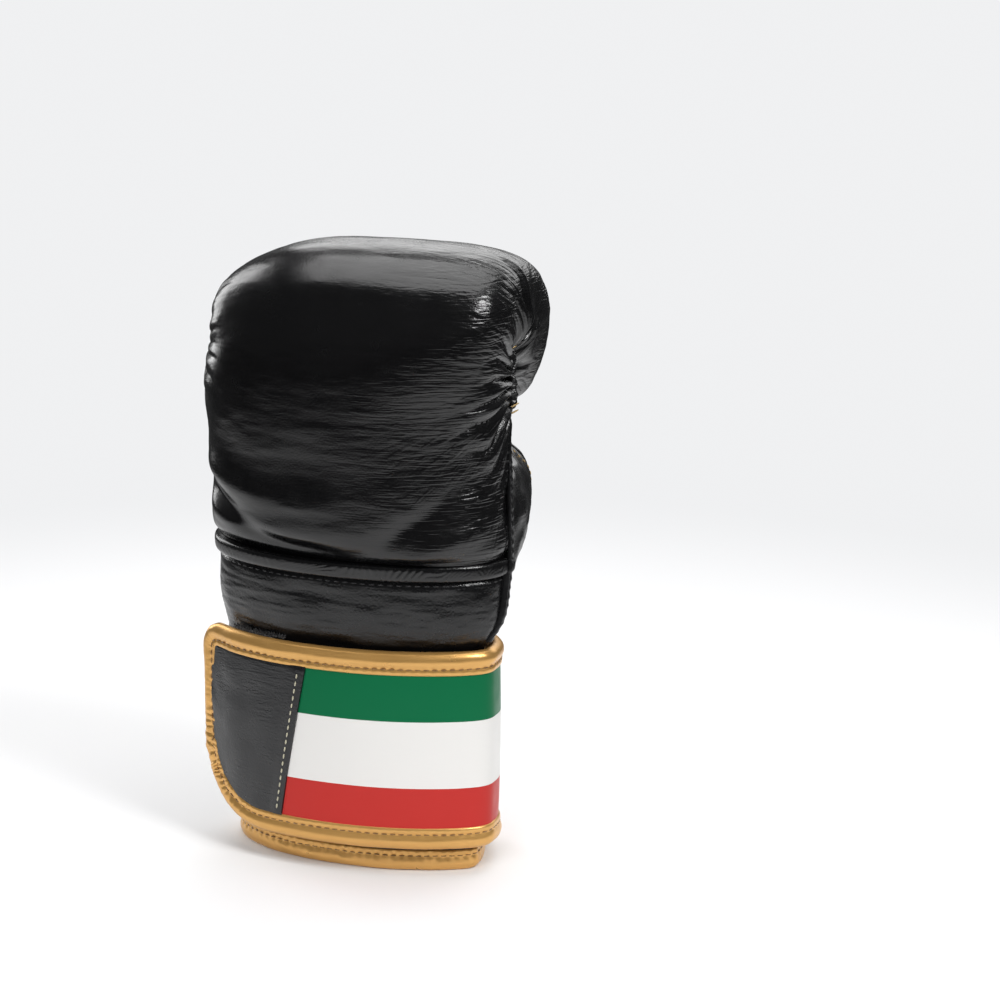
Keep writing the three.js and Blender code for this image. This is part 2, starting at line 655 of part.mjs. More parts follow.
// How far the wrist band, its welt or the fist pad stands out from the body at a height.
function seamOffset(z) {
  const weltTop = bandTop(HAND_WIDTH / 2);
  const weltLow = weltTop - WELT_HEIGHT;
  if (z > weltTop) return 0;
  if (z > weltLow) return weltProud((z - weltLow) / WELT_HEIGHT);
  return bandProud(Math.max(z - CUFF_HEIGHT, 0) / (weltLow - CUFF_HEIGHT));
}

// A strip along the thumb-side seam, from the strap up to the vent.
function makeSideWelt() {
  const sections = [];
  const half = SIDE_WELT_WIDTH / 2;
  const soft = SIDE_WELT_THICKNESS / 3;
  const clear = SEAM_GAP * 2;
  const profile = [
    [0, -half],
    [SIDE_WELT_THICKNESS - soft, -half],
    [SIDE_WELT_THICKNESS, 0],
    [SIDE_WELT_THICKNESS - soft, half],
    [0, half],
  ];
  for (let k = 0; k <= WELT_STEPS; k++) {
    const z = lerp(STRAP_HEIGHT + BINDING_HEIGHT, ventBottom, k / WELT_STEPS);
    const seam = bodyPoint(z, 0, Math.max(seamOffset(z), 0) + clear);
    sections.push(profile.map(([out, y]) => new THREE.Vector3(seam.x + out, seam.y + y, z)));
  }
  return barGeometry(sections);
}

// Six corners of a binding: flat inside, rounded outside.
function bindingSection(low, high, inner, outer, place) {
  const soft = BINDING_ROUNDING;
  const from = lerp(low, high, BINDING_CORNER_SHARE);
  const to = lerp(high, low, BINDING_CORNER_SHARE);
  return [
    place(low, inner),
    place(low, outer - soft),
    place(from, outer),
    place(to, outer),
    place(high, outer - soft),
    place(high, inner),
  ];
}

// The binding round the foot of the cuff, open where the slit comes down.
function makeCuffBinding() {
  const sections = [];
  const slitFrom = palmAngle(SLIT_ACROSS - SLIT_WIDTH / 2);
  const slitTo = palmAngle(SLIT_ACROSS + SLIT_WIDTH / 2);
  for (let k = 0; k <= CUFF_STEPS; k++) {
    const angle = lerp(slitTo - 2 * Math.PI, slitFrom, k / CUFF_STEPS);
    const place = (z, offset) => bodyPoint(z, angle, offset);
    sections.push(bindingSection(0, BINDING_HEIGHT, -CUFF_WALL - BINDING_PROUD, BINDING_PROUD, place));
  }
  return barGeometry(sections);
}

// The angle of bodyPoint where the foot of the cuff's palm side is at a place across.
function palmAngle(x) {
  const body = bodyAt(0);
  const share = (x - body.lean) / body.half;
  return 2 * Math.PI - Math.acos(signedPower(share, SQUARENESS / 2));
}

function makeSlitBinding() {
  const lowLeft = slitFoot();
  const lowRight = BINDING_HEIGHT + SEAM_GAP;
  const innerLine = slitOutline(0, lowLeft, lowRight);
  const outerLine = slitOutline(SLIT_BINDING_WIDTH, lowLeft, lowRight);
  const sections = innerLine.map((near, k) => {
    const far = outerLine[k];
    const isUnderStrap = near[0] > SLIT_ACROSS && near[1] <= slitFoot();
    const proud = isUnderStrap ? BINDING_PROUD : SLIT_BINDING_PROUD;
    const place = (share, offset) => {
      const x = lerp(near[0], far[0], share);
      const z = lerp(near[1], far[1], share);
      return new THREE.Vector3(x, palmSurface(x, z, 0) + SEAM_GAP / 2 + offset, z);
    };
    return bindingSection(0, 1, -PALM_WALL, proud, place);
  });
  return barGeometry(sections);
}

// The strap follows the cuff's outline. run is the distance along the cuff from the thumb-side
// seam, positive over the back. Past the wrap it leaves the cuff in a straight line.
const wrapSamples = [];
for (let k = 0; k <= WRAP_STEPS; k++) {
  const angle = lerp(STRAP_START_ANGLE, STRAP_WRAP_ANGLE, k / WRAP_STEPS);
  const point = bodyPoint(CUFF_HEIGHT, angle, 0);
  const before = wrapSamples[k - 1];
  const run = before ? before.run + point.distanceTo(before.point) : 0;
  wrapSamples.push({ angle, point, run });
}
const runAtSeam = wrapSamples.find((sample) => sample.angle >= 0).run;
wrapSamples.forEach((sample) => (sample.run -= runAtSeam));
const wrapEnd = wrapSamples[wrapSamples.length - 1];
const wrapHeading = wrapEnd.point.clone().sub(wrapSamples[wrapSamples.length - 3].point).normalize();
const strapEnd = wrapEnd.run + STRAP_END_LENGTH;
const strapRoot = -STRAP_ROOT_LENGTH;

function strapPoint(run, z, offset) {
  const inWrap = Math.min(run, wrapEnd.run);
  let k = 1;
  while (wrapSamples[k].run < inWrap && k < wrapSamples.length - 1) k++;
  const [a, b] = [wrapSamples[k - 1], wrapSamples[k]];
  const angle = lerp(a.angle, b.angle, (inWrap - a.run) / (b.run - a.run));
  const point = bodyPoint(CUFF_HEIGHT, angle, STRAP_STANDOFF + offset);
  point.z = z;
  return point.addScaledVector(wrapHeading, run - inWrap);
}

function strapLow(run) {
  if (run < 0) return STRAP_RISE * (1 - run / strapRoot);
  return STRAP_RISE + (STRAP_FLAP_RISE * run) / strapEnd;
}

function strapHigh(run) {
  if (run < 0) return STRAP_HEIGHT + STRAP_TOP_RISE * (1 - run / strapRoot);
  return STRAP_HEIGHT + STRAP_TOP_RISE + (STRAP_FLAP_RISE * run) / strapEnd;
}

// Lower and upper edge of the strap at a run, taken in all round by an inset.
function strapSpan(run, inset) {
  const corner = (radius) => {
    const past = run - (strapEnd - radius);
    if (past <= 0) return inset;
    const r = radius - inset;
    return radius - Math.sqrt(Math.max(r * r - past * past, 0));
  };
  return [strapLow(run) + corner(STRAP_BOTTOM_RADIUS), strapHigh(run) - corner(STRAP_TOP_RADIUS)];
}

// A layer of the strap between two runs, given for each share of its height.
function strapLayer(columns, rows, from, to, lowShare, highShare, inset, near, thickness) {
  const sheet = (offset) => (v, u) => {
    const share = lerp(lowShare, highShare, v);
    const run = lerp(from(share), to(share), u);
    const [low, high] = strapSpan(run, inset);
    return strapPoint(run, lerp(low, high, share), offset);
  };
  return shellGeometry(rows, columns, sheet(near + thickness), sheet(near));
}

const panelInset = BINDING_HEIGHT + SEAM_GAP;
const panelEnd = strapEnd - panelInset;
const faceNear = STRAP_CORE + STRAP_FACE_GAP;

function strapSeam(share) {
  return panelEnd - STRAP_END_PANEL + STRAP_SEAM_SLANT * (0.5 - share);
}

function makeStrapCore() {
  return strapLayer(CUFF_STEPS, 1, () => strapRoot, () => panelEnd, 0, 1, panelInset, 0, STRAP_CORE);
}

function makeStripe(lowShare, highShare) {
  const margin = SEAM_GAP / 2 / STRAP_HEIGHT;
  const to = (share) => strapSeam(share) - SEAM_GAP;
  const [low, high] = [lowShare + margin, highShare - margin];
  return strapLayer(STRIPE_COLUMNS, 1, () => strapRoot, to, low, high, panelInset, faceNear, STRAP_FACE);
}

function makeEndPanel() {
  const [columns, rows] = [END_PANEL_COLUMNS, END_PANEL_ROWS];
  return strapLayer(columns, rows, strapSeam, () => panelEnd, 0, 1, panelInset, faceNear, STRAP_FACE);
}

// Edge of the strap from its root along the bottom, round the free end and back along the top.
function strapOutline(inset) {
  const points = [];
  const lowTurn = strapEnd - STRAP_BOTTOM_RADIUS;
  const highTurn = strapEnd - STRAP_TOP_RADIUS;
  const lowCentre = strapLow(lowTurn) + STRAP_BOTTOM_RADIUS;
  const highCentre = strapHigh(highTurn) - STRAP_TOP_RADIUS;
  for (let k = 0; k < EDGE_STEPS; k++) {
    const run = lerp(strapRoot, lowTurn, k / EDGE_STEPS);
    points.push([run, strapLow(run) + inset]);
  }
  for (let k = 0; k <= CORNER_STEPS; k++) {
    const turn = (Math.PI / 2) * (k / CORNER_STEPS - 1);
    const r = STRAP_BOTTOM_RADIUS - inset;
    points.push([lowTurn + r * Math.cos(turn), lowCentre + r * Math.sin(turn)]);
  }
  for (let k = 0; k <= CORNER_STEPS; k++) {
    const turn = (Math.PI / 2) * (k / CORNER_STEPS);
    const r = STRAP_TOP_RADIUS - inset;
    points.push([highTurn + r * Math.cos(turn), highCentre + r * Math.sin(turn)]);
  }
  for (let k = 1; k <= EDGE_STEPS; k++) {
    const run = lerp(highTurn, strapRoot, k / EDGE_STEPS);
    points.push([run, strapHigh(run) - inset]);
  }
  return points;
}

function makeStrapBinding() {
  const edge = strapOutline(0);
  const inside = strapOutline(BINDING_HEIGHT);
  const thickness = STRAP_CORE + STRAP_FACE + BINDING_ROUNDING;
  const sections = edge.map((far, k) => {
    const near = inside[k];
    const place = (share, offset) =>
      strapPoint(lerp(far[0], near[0], share), lerp(far[1], near[1], share), offset);
    return bindingSection(0, 1, 0, thickness, place);
  });
  return barGeometry(sections);
}

// The patch lies between the cuff's back and the strap, near the strap's free end.
function makeFastenerPatch() {
  const outer = -SEAM_GAP;
  const inner = outer - PATCH_THICKNESS;
  const to = wrapEnd.run;
  const from = to - PATCH_WIDTH;
  const sheet = (offset) => (v, u) => {
    const run = lerp(from, to, u);
    const high = strapHigh(run) + PATCH_ABOVE_STRAP;
    return strapPoint(run, lerp(high - PATCH_HEIGHT, high, v), offset);
  };
  return shellGeometry(PATCH_ROWS, PATCH_COLUMNS, sheet(outer), sheet(inner));
}

addPiece("fist_pad", makeFistPad(), leather);
addPiece("wrist_band", makeWristBand(), leather);
addPiece("band_welt", makeBandWelt(), leather);
addPiece("cuff_back", makeCuffBack(), palmLeather);
addPiece("palm_panel", makePalmPanel(), palmLeather);
addPiece("vent_mesh", makeVentMesh(), netting);
addPiece("side_welt", makeSideWelt(), leather);
addPiece("thumb_sleeve", makeThumbSleeve(), leather);
addPiece("cuff_binding", makeCuffBinding(), gold);
addPiece("slit_binding", makeSlitBinding(), gold);
addPiece("fastener_patch", makeFastenerPatch(), pile);
addPiece("strap_core", makeStrapCore(), palmLeather);
addPiece("stripe_bottom", makeStripe(0, BOTTOM_STRIPE_SHARE), red);
addPiece("stripe_middle", makeStripe(BOTTOM_STRIPE_SHARE, 1 - TOP_STRIPE_SHARE), white);
addPiece("stripe_top", makeStripe(1 - TOP_STRIPE_SHARE, 1), green);
addPiece("strap_end_panel", makeEndPanel(), palmLeather);
addPiece("strap_binding", makeStrapBinding(), gold);

// The origin goes to the middle of the footprint.
const box = new THREE.Box3().setFromObject(glove);
const middle = box.getCenter(new THREE.Vector3());
glove.position.set(-middle.x, -middle.y, -box.min.z);

export default glove;
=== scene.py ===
"""Dressed model of a left-hand bag glove: black leather, gold edge binding, striped strap.

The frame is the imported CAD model. Surfaces are worked out in millimetres on the same curves
as the CAD solids and are placed in the row frame, in metres.
"""
import logging
import math
from dataclasses import dataclass, field
from enum import Enum
from typing import Callable, Sequence

import bmesh
import bpy
import numpy as np
from mathutils import Matrix, Vector

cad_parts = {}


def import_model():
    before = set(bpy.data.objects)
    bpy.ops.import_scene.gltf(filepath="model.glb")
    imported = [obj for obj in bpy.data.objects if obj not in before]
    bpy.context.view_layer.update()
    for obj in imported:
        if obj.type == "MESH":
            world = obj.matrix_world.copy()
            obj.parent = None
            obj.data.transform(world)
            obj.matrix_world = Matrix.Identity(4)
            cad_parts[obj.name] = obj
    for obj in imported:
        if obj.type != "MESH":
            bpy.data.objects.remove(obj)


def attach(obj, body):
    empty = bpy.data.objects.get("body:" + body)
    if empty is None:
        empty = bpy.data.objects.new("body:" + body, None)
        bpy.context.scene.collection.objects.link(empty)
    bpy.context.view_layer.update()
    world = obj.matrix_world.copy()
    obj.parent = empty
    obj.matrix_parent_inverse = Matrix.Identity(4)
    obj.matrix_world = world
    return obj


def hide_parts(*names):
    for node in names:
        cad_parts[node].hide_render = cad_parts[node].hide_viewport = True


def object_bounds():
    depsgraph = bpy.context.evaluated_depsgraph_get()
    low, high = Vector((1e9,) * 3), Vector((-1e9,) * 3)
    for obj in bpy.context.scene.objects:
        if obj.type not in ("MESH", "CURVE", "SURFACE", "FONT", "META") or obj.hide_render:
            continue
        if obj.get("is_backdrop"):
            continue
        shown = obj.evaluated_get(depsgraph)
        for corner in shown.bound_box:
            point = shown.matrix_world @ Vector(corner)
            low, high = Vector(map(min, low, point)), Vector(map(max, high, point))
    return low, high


Array = np.ndarray
Surface = Callable[[Array, Array], Array]
Profile = Callable[[Array], Array]
Colour = tuple[float, float, float]
Socket = bpy.types.NodeSocket
Shape = bmesh.types.BMesh

LOG = logging.getLogger("glove")
MILLIMETRE = 0.001
ORIGIN_SHIFT = np.array([-6.25, -13.59, 0.0])
ROOT = "root"
TURN = 2.0 * math.pi
LEVEL = np.array([1.0, 1.0, 0.0])
BINDING_LAP = 1.5


class Side(Enum):
    """The two sides of the hand."""

    THUMB = 1
    PINKY = -1


class Slot(Enum):
    """Material slots of the record."""

    BLACK = "black_leather"
    PALM = "palm_leather"
    GREY = "grey_leather"
    GOLD = "gold_leather"
    GREEN = "green_leather"
    WHITE = "white_leather"
    RED = "red_leather"
    NET = "vent_net"
    PILE = "fastener_pile"


# Body sections from the top of the cuff to the gathers: up, spread, lean, back, palm, fold
BODY_SECTIONS = np.array([
    (0.0, 0.0, 0.0, 0.0, 0.0, 1.0),
    (0.15, 0.69, 0.83, 0.24, 0.6, 0.75),
    (0.3, 1.0, 1.0, 0.43, 1.0, 0.5),
    (0.55, 0.94, 0.57, 0.8, 0.85, 0.2),
    (0.785, 0.85, 0.0, 0.98, 0.75, 0.0),
    (1.0, 0.35, 0.23, 1.0, 0.7, 0.0),
])

# Middle line of the fist pad: is roll, out, drop, pocket out, pocket drop, overhang
PAD_ROWS = np.array([
    (0, 0.79, 1.0, 0.78, 1.0, 0.0),
    (0, 0.875, 0.832, 0.86, 0.832, 0.0),
    (0, 0.947, 0.664, 0.94, 0.664, 0.05),
    (0, 0.99, 0.496, 1.0, 0.51, 0.2),
    (0, 1.0, 0.359, 1.0, 0.4, 0.5),
    (0, 0.95, 0.244, 0.98, 0.31, 0.85),
    (0, 0.8, 0.108, 0.88, 0.245, 1.0),
    (0, 0.5, 0.027, 0.64, 0.2, 1.0),
    (0, 0.12, 0.0, 0.24, 0.176, 1.0),
    (1, 0.28, 0.015, 0.21, 0.292, 1.0),
    (1, 0.62, 0.09, 0.6, 0.33, 1.0),
    (1, 0.86, 0.245, 0.87, 0.42, 1.0),
    (1, 0.985, 0.44, 0.985, 0.54, 1.0),
    (1, 0.99, 0.66, 1.0, 0.67, 1.0),
    (1, 0.9, 0.86, 1.0, 0.77, 0.9),
    (1, 0.74, 0.97, 1.0, 0.86, 0.7),
    (1, 0.6, 1.0, 1.0, 0.92, 0.35),
])
LAST_ROW = len(PAD_ROWS)
GATHER_START_ROW = 5.0
GATHER_END_ROW = 11.5

# Broad folds of the fist pad above the welt, in millimetres: the middle's place across and up,
# slant, curve, width, length, height
SOFT_FOLDS = (
    (-58.0, 166.0, -0.42, 0.0042, 7.0, 46.0, 3.15),
    (-40.0, 147.0, -0.5, 0.006, 5.0, 40.0, -2.55),
    (-60.0, 150.0, -0.34, 0.0036, 5.5, 50.0, 2.25),
    (-6.0, 136.0, -0.1, 0.0, 4.0, 30.0, -1.5),
    (50.0, 141.0, 0.55, 0.0, 6.0, 26.0, 1.8),
    (38.0, 150.0, 0.7, 0.0, 5.0, 22.0, -1.35),
    (10.0, 150.0, 0.1, 0.0, 14.0, 60.0, 1.8),
)

# Section of the strap's binding: place round it, share in from the edge, offset out
STRAP_BINDING_PROFILE = np.array([
    (0.00, 1.06, 0.2), (0.10, 0.5, 0.0), (0.20, 0.06, 0.25), (0.27, -0.01, 1.4), (0.34, 0.03, 3.0),
    (0.41, 0.16, 4.35), (0.48, 0.34, 4.95), (0.55, 0.5, 4.9), (0.62, 0.64, 4.4), (0.67, 0.72, 3.95),
    (0.71, 0.77, 3.9), (0.76, 0.83, 4.25), (0.84, 0.95, 4.25), (0.9, 1.06, 4.05), (0.95, 1.08, 3.0),
    (1.00, 1.06, 0.2),
])

# Section of the cuff's binding: place round it, height, offset out
CUFF_BINDING_PROFILE = np.array([
    (0.0, 8.9, -5.3), (0.1, 5.0, -5.6), (0.18, 1.4, -5.2), (0.24, 0.1, -3.6), (0.3, 0.0, -1.6),
    (0.36, 0.25, 0.3), (0.43, 1.4, 1.35), (0.5, 3.0, 1.6), (0.57, 4.6, 1.45), (0.63, 5.8, 1.0),
    (0.68, 6.5, 0.75), (0.74, 7.2, 1.0), (0.82, 8.6, 0.95), (0.87, 9.0, 0.5), (0.93, 9.05, -2.0),
    (1.0, 8.9, -5.3),
])

# Stitched facing line on the palm and the short line beside it: places across and up
FACING_LINE = (
    (-10.5, 10.5), (-11.0, 60.0), (-10.5, 96.0), (-11.0, 112.0), (-5.5, 126.0), (3.0, 131.0), (12.0, 134.0),
)
SHORT_LINE = ((19.0, 112.0), (17.0, 92.0))
EYELETS = ((13.8, 160.0), (-0.5, 147.7))

# Bar tacks: share up the ridge, how far out they lie, distance between stitches, half lengths
BAR_TACKS = ((0.96, 1.4, 1.1, (1.9, 1.7, 2.1)), (0.02, 1.1, 2.6, (2.3, 2.6)))


def smooth_step(value: Array) -> Array:
    """Eases 0 to 1 and holds outside."""
    held = np.clip(value, 0.0, 1.0)
    return held * held * (3.0 - 2.0 * held)


def mix(low: Array, high: Array, share: Array) -> Array:
    """The value a share of the way from low to high."""
    return low + (high - low) * share


def signed_power(value: Array, power: Array) -> Array:
    """Raises the size of a value to a power and keeps its sign."""
    return np.sign(value) * np.abs(value) ** power


def stack(x: Array, y: Array, z: Array) -> Array:
    """Joins three coordinates to rows of points."""
    x, y, z = np.broadcast_arrays(x, y, z)
    return np.stack([x, y, z], axis=-1).astype(float)


def unit(vectors: Array) -> Array:
    """Vectors of length one."""
    size = np.linalg.norm(vectors, axis=-1, keepdims=True)
    return vectors / np.maximum(size, 1e-9)


def table_value(keys: Array, values: Array, at: Array) -> Array:
    """Reads a table column with smooth curves between its rows.

    Args:
        keys: rising key column.
        values: the column that is read.
        at: keys to read at.

    Returns:
        The value at each key.
    """
    at = np.clip(at, keys[0], keys[-1])
    slopes = np.zeros(len(keys))
    slopes[1:-1] = (values[2:] - values[:-2]) / (keys[2:] - keys[:-2])
    row = np.clip(np.searchsorted(keys, at, side="left") - 1, 0, len(keys) - 2)
    span = keys[row + 1] - keys[row]
    share = (at - keys[row]) / span
    leave = share * (1 - share) ** 2 * span * slopes[row]
    arrive = share * share * (share - 1) * span * slopes[row + 1]
    return mix(values[row], values[row + 1], smooth_step(share)) + leave + arrive


def run_lengths(line: Array) -> Array:
    """Distance along a line of points, from 0 at its first."""
    steps = np.linalg.norm(np.diff(line, axis=0), axis=1)
    return np.concatenate([[0.0], np.cumsum(steps)])


def line_values(keys: Array, line: Array, at: Array) -> Array:
    """Rows of a two-column line at some keys."""
    return np.stack([np.interp(at, keys, line[:, k]) for k in range(2)], axis=1)


def hump(at: Array, middle: float, width: float) -> Array:
    """A smooth hump that is 1 in its middle and falls away over a width."""
    return np.exp(-(((at - middle) / width) ** 2))


def fade(share: Array, first: float, last: float) -> Array:
    """Eases in over the first part of a share and out over its last part."""
    return smooth_step(share / first) * smooth_step((1.0 - share) / last)


def steady(value: float) -> Callable[..., Array]:
    """A function that gives one number at every share."""

    def give(*shares: Array) -> Array:
        """The number, once for each share."""
        return 0.0 * shares[0] + value

    return give


def line_on(surface: Surface, u: tuple[float, float], v: tuple[float, float]) -> Profile:
    """A path over a surface between two places on it.

    Args:
        surface: the surface, as a function of two shares.
        u: first shares where the path starts and ends.
        v: second shares where it starts and ends.

    Returns:
        The path's points as a function of the share along it.
    """

    def at(share: Array) -> Array:
        """Points at shares of the path."""
        return surface(mix(*u, share), mix(*v, share))

    return at


def ring_place(turn: Array, size: float, along: Array) -> Array:
    """Where a tube's points lie in a noise, so that it joins up all round."""
    return stack(np.cos(turn) * size, np.sin(turn) * size, along)


class Noise:
    """Smooth value noise on a seeded lattice."""

    SIZE = 32

    def __init__(self, seed: int) -> None:
        """Fills the lattice.

        Args:
            seed: start of the random draws.
        """
        self.lattice = np.random.default_rng(seed).uniform(-1.0, 1.0, (self.SIZE,) * 3)

    def at(self, points: Array) -> Array:
        """The noise, from -1 to 1, at points."""
        cell = np.floor(points).astype(int)
        part = smooth_step(points - cell)
        total = np.zeros(len(points))
        for corner in np.ndindex(2, 2, 2):
            index = (cell + corner) % self.SIZE
            weight = np.prod(np.where(corner, part, 1.0 - part), axis=1)
            total += weight * self.lattice[index[:, 0], index[:, 1], index[:, 2]]
        return total

    def layered(self, points: Array, layers: int) -> Array:
        """Noise with finer layers on it, each half as strong."""
        return sum(self.at(points * 2.03**k + 7.1 * k) / 2**k for k in range(layers))


@dataclass(frozen=True)
class Section:
    """The glove's outline at some heights: half width, lean, fold and the two depths."""

    half: Array
    lean: Array
    fold: Array
    back: Array
    palm: Array


@dataclass(frozen=True)
class GloveForm:
    """The glove's main surfaces, in millimetres, with the same sizes as the CAD solids."""

    height: float = 255.0
    seam_gap: float = 0.3
    squareness: float = 2.15
    cuff_width: float = 113.0
    cuff_back_depth: float = 30.0
    cuff_palm_depth: float = 28.0
    cuff_height: float = 88.0
    cuff_wall: float = 4.0
    cuff_lean: float = 1.5
    cuff_fold: float = 12.0
    fold_sharpness: float = 3.0
    foot_taper: float = 6.0
    foot_taper_height: float = 60.0
    binding_height: float = 9.0
    band_height: float = 37.0
    band_slant: float = 0.5
    welt_height: float = 7.0
    hand_width: float = 126.0
    hand_lean: float = 4.5
    back_depth: float = 47.5
    palm_depth: float = 32.0
    palm_wall: float = 2.4
    gather_drop: float = 37.0
    roll_depth: float = 57.0
    roll_drop: float = 79.0
    roll_tuck: float = 3.5
    roll_end_curve: float = 2.2
    vent_height: float = 28.0
    vent_width: float = 21.0

    @property
    def gather_height(self) -> float:
        """Height of the gathers at the sides."""
        return self.height - self.gather_drop

    @property
    def vent_bottom(self) -> float:
        """Height where the vent and the palm meet."""
        return self.gather_height - self.vent_height

    @property
    def band_top_middle(self) -> float:
        """Height of the welt's top in the middle."""
        return self.cuff_height + self.band_height + self.welt_height

    @property
    def roll_end(self) -> float:
        """Lowest height of the roll's end."""
        return self.height - self.roll_drop + self.roll_tuck

    def section(self, z: Array) -> Section:
        """The outline at each height."""
        up = (z - self.cuff_height) / (self.gather_height - self.cuff_height)
        keys = BODY_SECTIONS[:, 0]
        spread, lean, back, palm, fold = (
            table_value(keys, BODY_SECTIONS[:, column], up) for column in range(1, 6)
        )
        taper = self.foot_taper * (1.0 - smooth_step(z / self.foot_taper_height))
        return Section(
            half=(mix(self.cuff_width, self.hand_width, spread) - taper) / 2.0,
            lean=mix(self.cuff_lean, self.hand_lean, lean) + taper / 2.0,
            fold=self.cuff_fold * fold,
            back=mix(self.cuff_back_depth, self.back_depth, back),
            palm=mix(self.cuff_palm_depth, self.palm_depth, palm),
        )

    def fold_shift(self, section: Section, across: Array) -> Array:
        """How much nearer the back the thumb-side fold lies."""
        held = np.maximum(across, 0.0)
        return section.fold * held**self.fold_sharpness

    def body_point(self, z: Array, angle: Array, offset: Array) -> Array:
        """Points on the outside, from the thumb seam (0) over the back to the palm (2 pi)."""
        z = np.asarray(z, float) + 0.0 * np.asarray(angle, float)
        section = self.section(z)
        across = signed_power(np.cos(angle), 2.0 / self.squareness)
        deep = signed_power(np.sin(angle), 2.0 / self.squareness)
        depth = np.where(deep > 0, section.back, section.palm)
        fold = self.fold_shift(section, across)
        room = -fold * np.abs(deep)
        y = -deep * (depth + offset) - fold - room
        return stack(section.lean + across * (section.half + offset), y, z)

    def palm_surface(self, x: Array, z: Array, offset: Array) -> Array:
        """How far the palm stands from the seam plane at a place across and up."""
        section = self.section(np.asarray(z, float) + 0.0 * np.asarray(x, float))
        across = np.clip((x - section.lean) / (section.half + offset), -1.0, 1.0)
        deep = (1.0 - np.abs(across) ** self.squareness) ** (1.0 / self.squareness)
        return deep * (section.palm + offset) - self.fold_shift(section, across) * (1.0 - deep)

    def band_top(self, x: Array) -> Array:
        """Height of the welt's top edge, lower towards the thumb."""
        return self.band_top_middle - self.band_slant * x / (self.hand_width / 2.0)

    def roll_end_height(self, x: Array) -> Array:
        """Height of the line across the palm where the roll ends."""
        low = self.section(np.array([self.vent_bottom]))
        thumb = (low.lean + low.half - self.vent_width)[0]
        pinky = (low.lean - low.half)[0]
        away = np.abs(x - (thumb + pinky) / 2.0) / ((thumb - pinky) / 2.0)
        share = np.minimum(away, 1.0) ** self.roll_end_curve
        return mix(self.roll_end, self.vent_bottom, share)


def surface_normals(place: Surface, u: Array, v: Array, step: float = 2e-3) -> Array:
    """Directions square to a surface, pointing along the cross product of its two shares."""
    across = place(np.minimum(u + step, 1.0), v) - place(np.maximum(u - step, 0.0), v)
    along = place(u, np.minimum(v + step, 1.0)) - place(u, np.maximum(v - step, 0.0))
    return unit(np.cross(across, along))


def to_row_frame(points: Array) -> Array:
    """Millimetres on the glove's own axes to metres in the row frame."""
    return (points + ORIGIN_SHIFT) * MILLIMETRE


def new_grid(columns: int, rows: int) -> Shape:
    """A flat grid one unit wide, with its shares as the UV map."""
    shape = bmesh.new()
    shape.loops.layers.uv.new("surface")
    bmesh.ops.create_grid(shape, x_segments=columns, y_segments=rows, size=0.5, calc_uvs=True)
    return shape


def grow_copy(shape: Shape) -> list[bmesh.types.BMVert]:
    """Makes a second layer of a shape's faces, joined at the rims, and gives its corners."""
    grown = bmesh.ops.extrude_face_region(shape, geom=list(shape.faces), use_keep_orig=True)
    return [item for item in grown["geom"] if isinstance(item, bmesh.types.BMVert)]


def corner_places(shape: Shape) -> Array:
    """Where a shape's corners are."""
    return np.array([vertex.co for vertex in shape.verts])


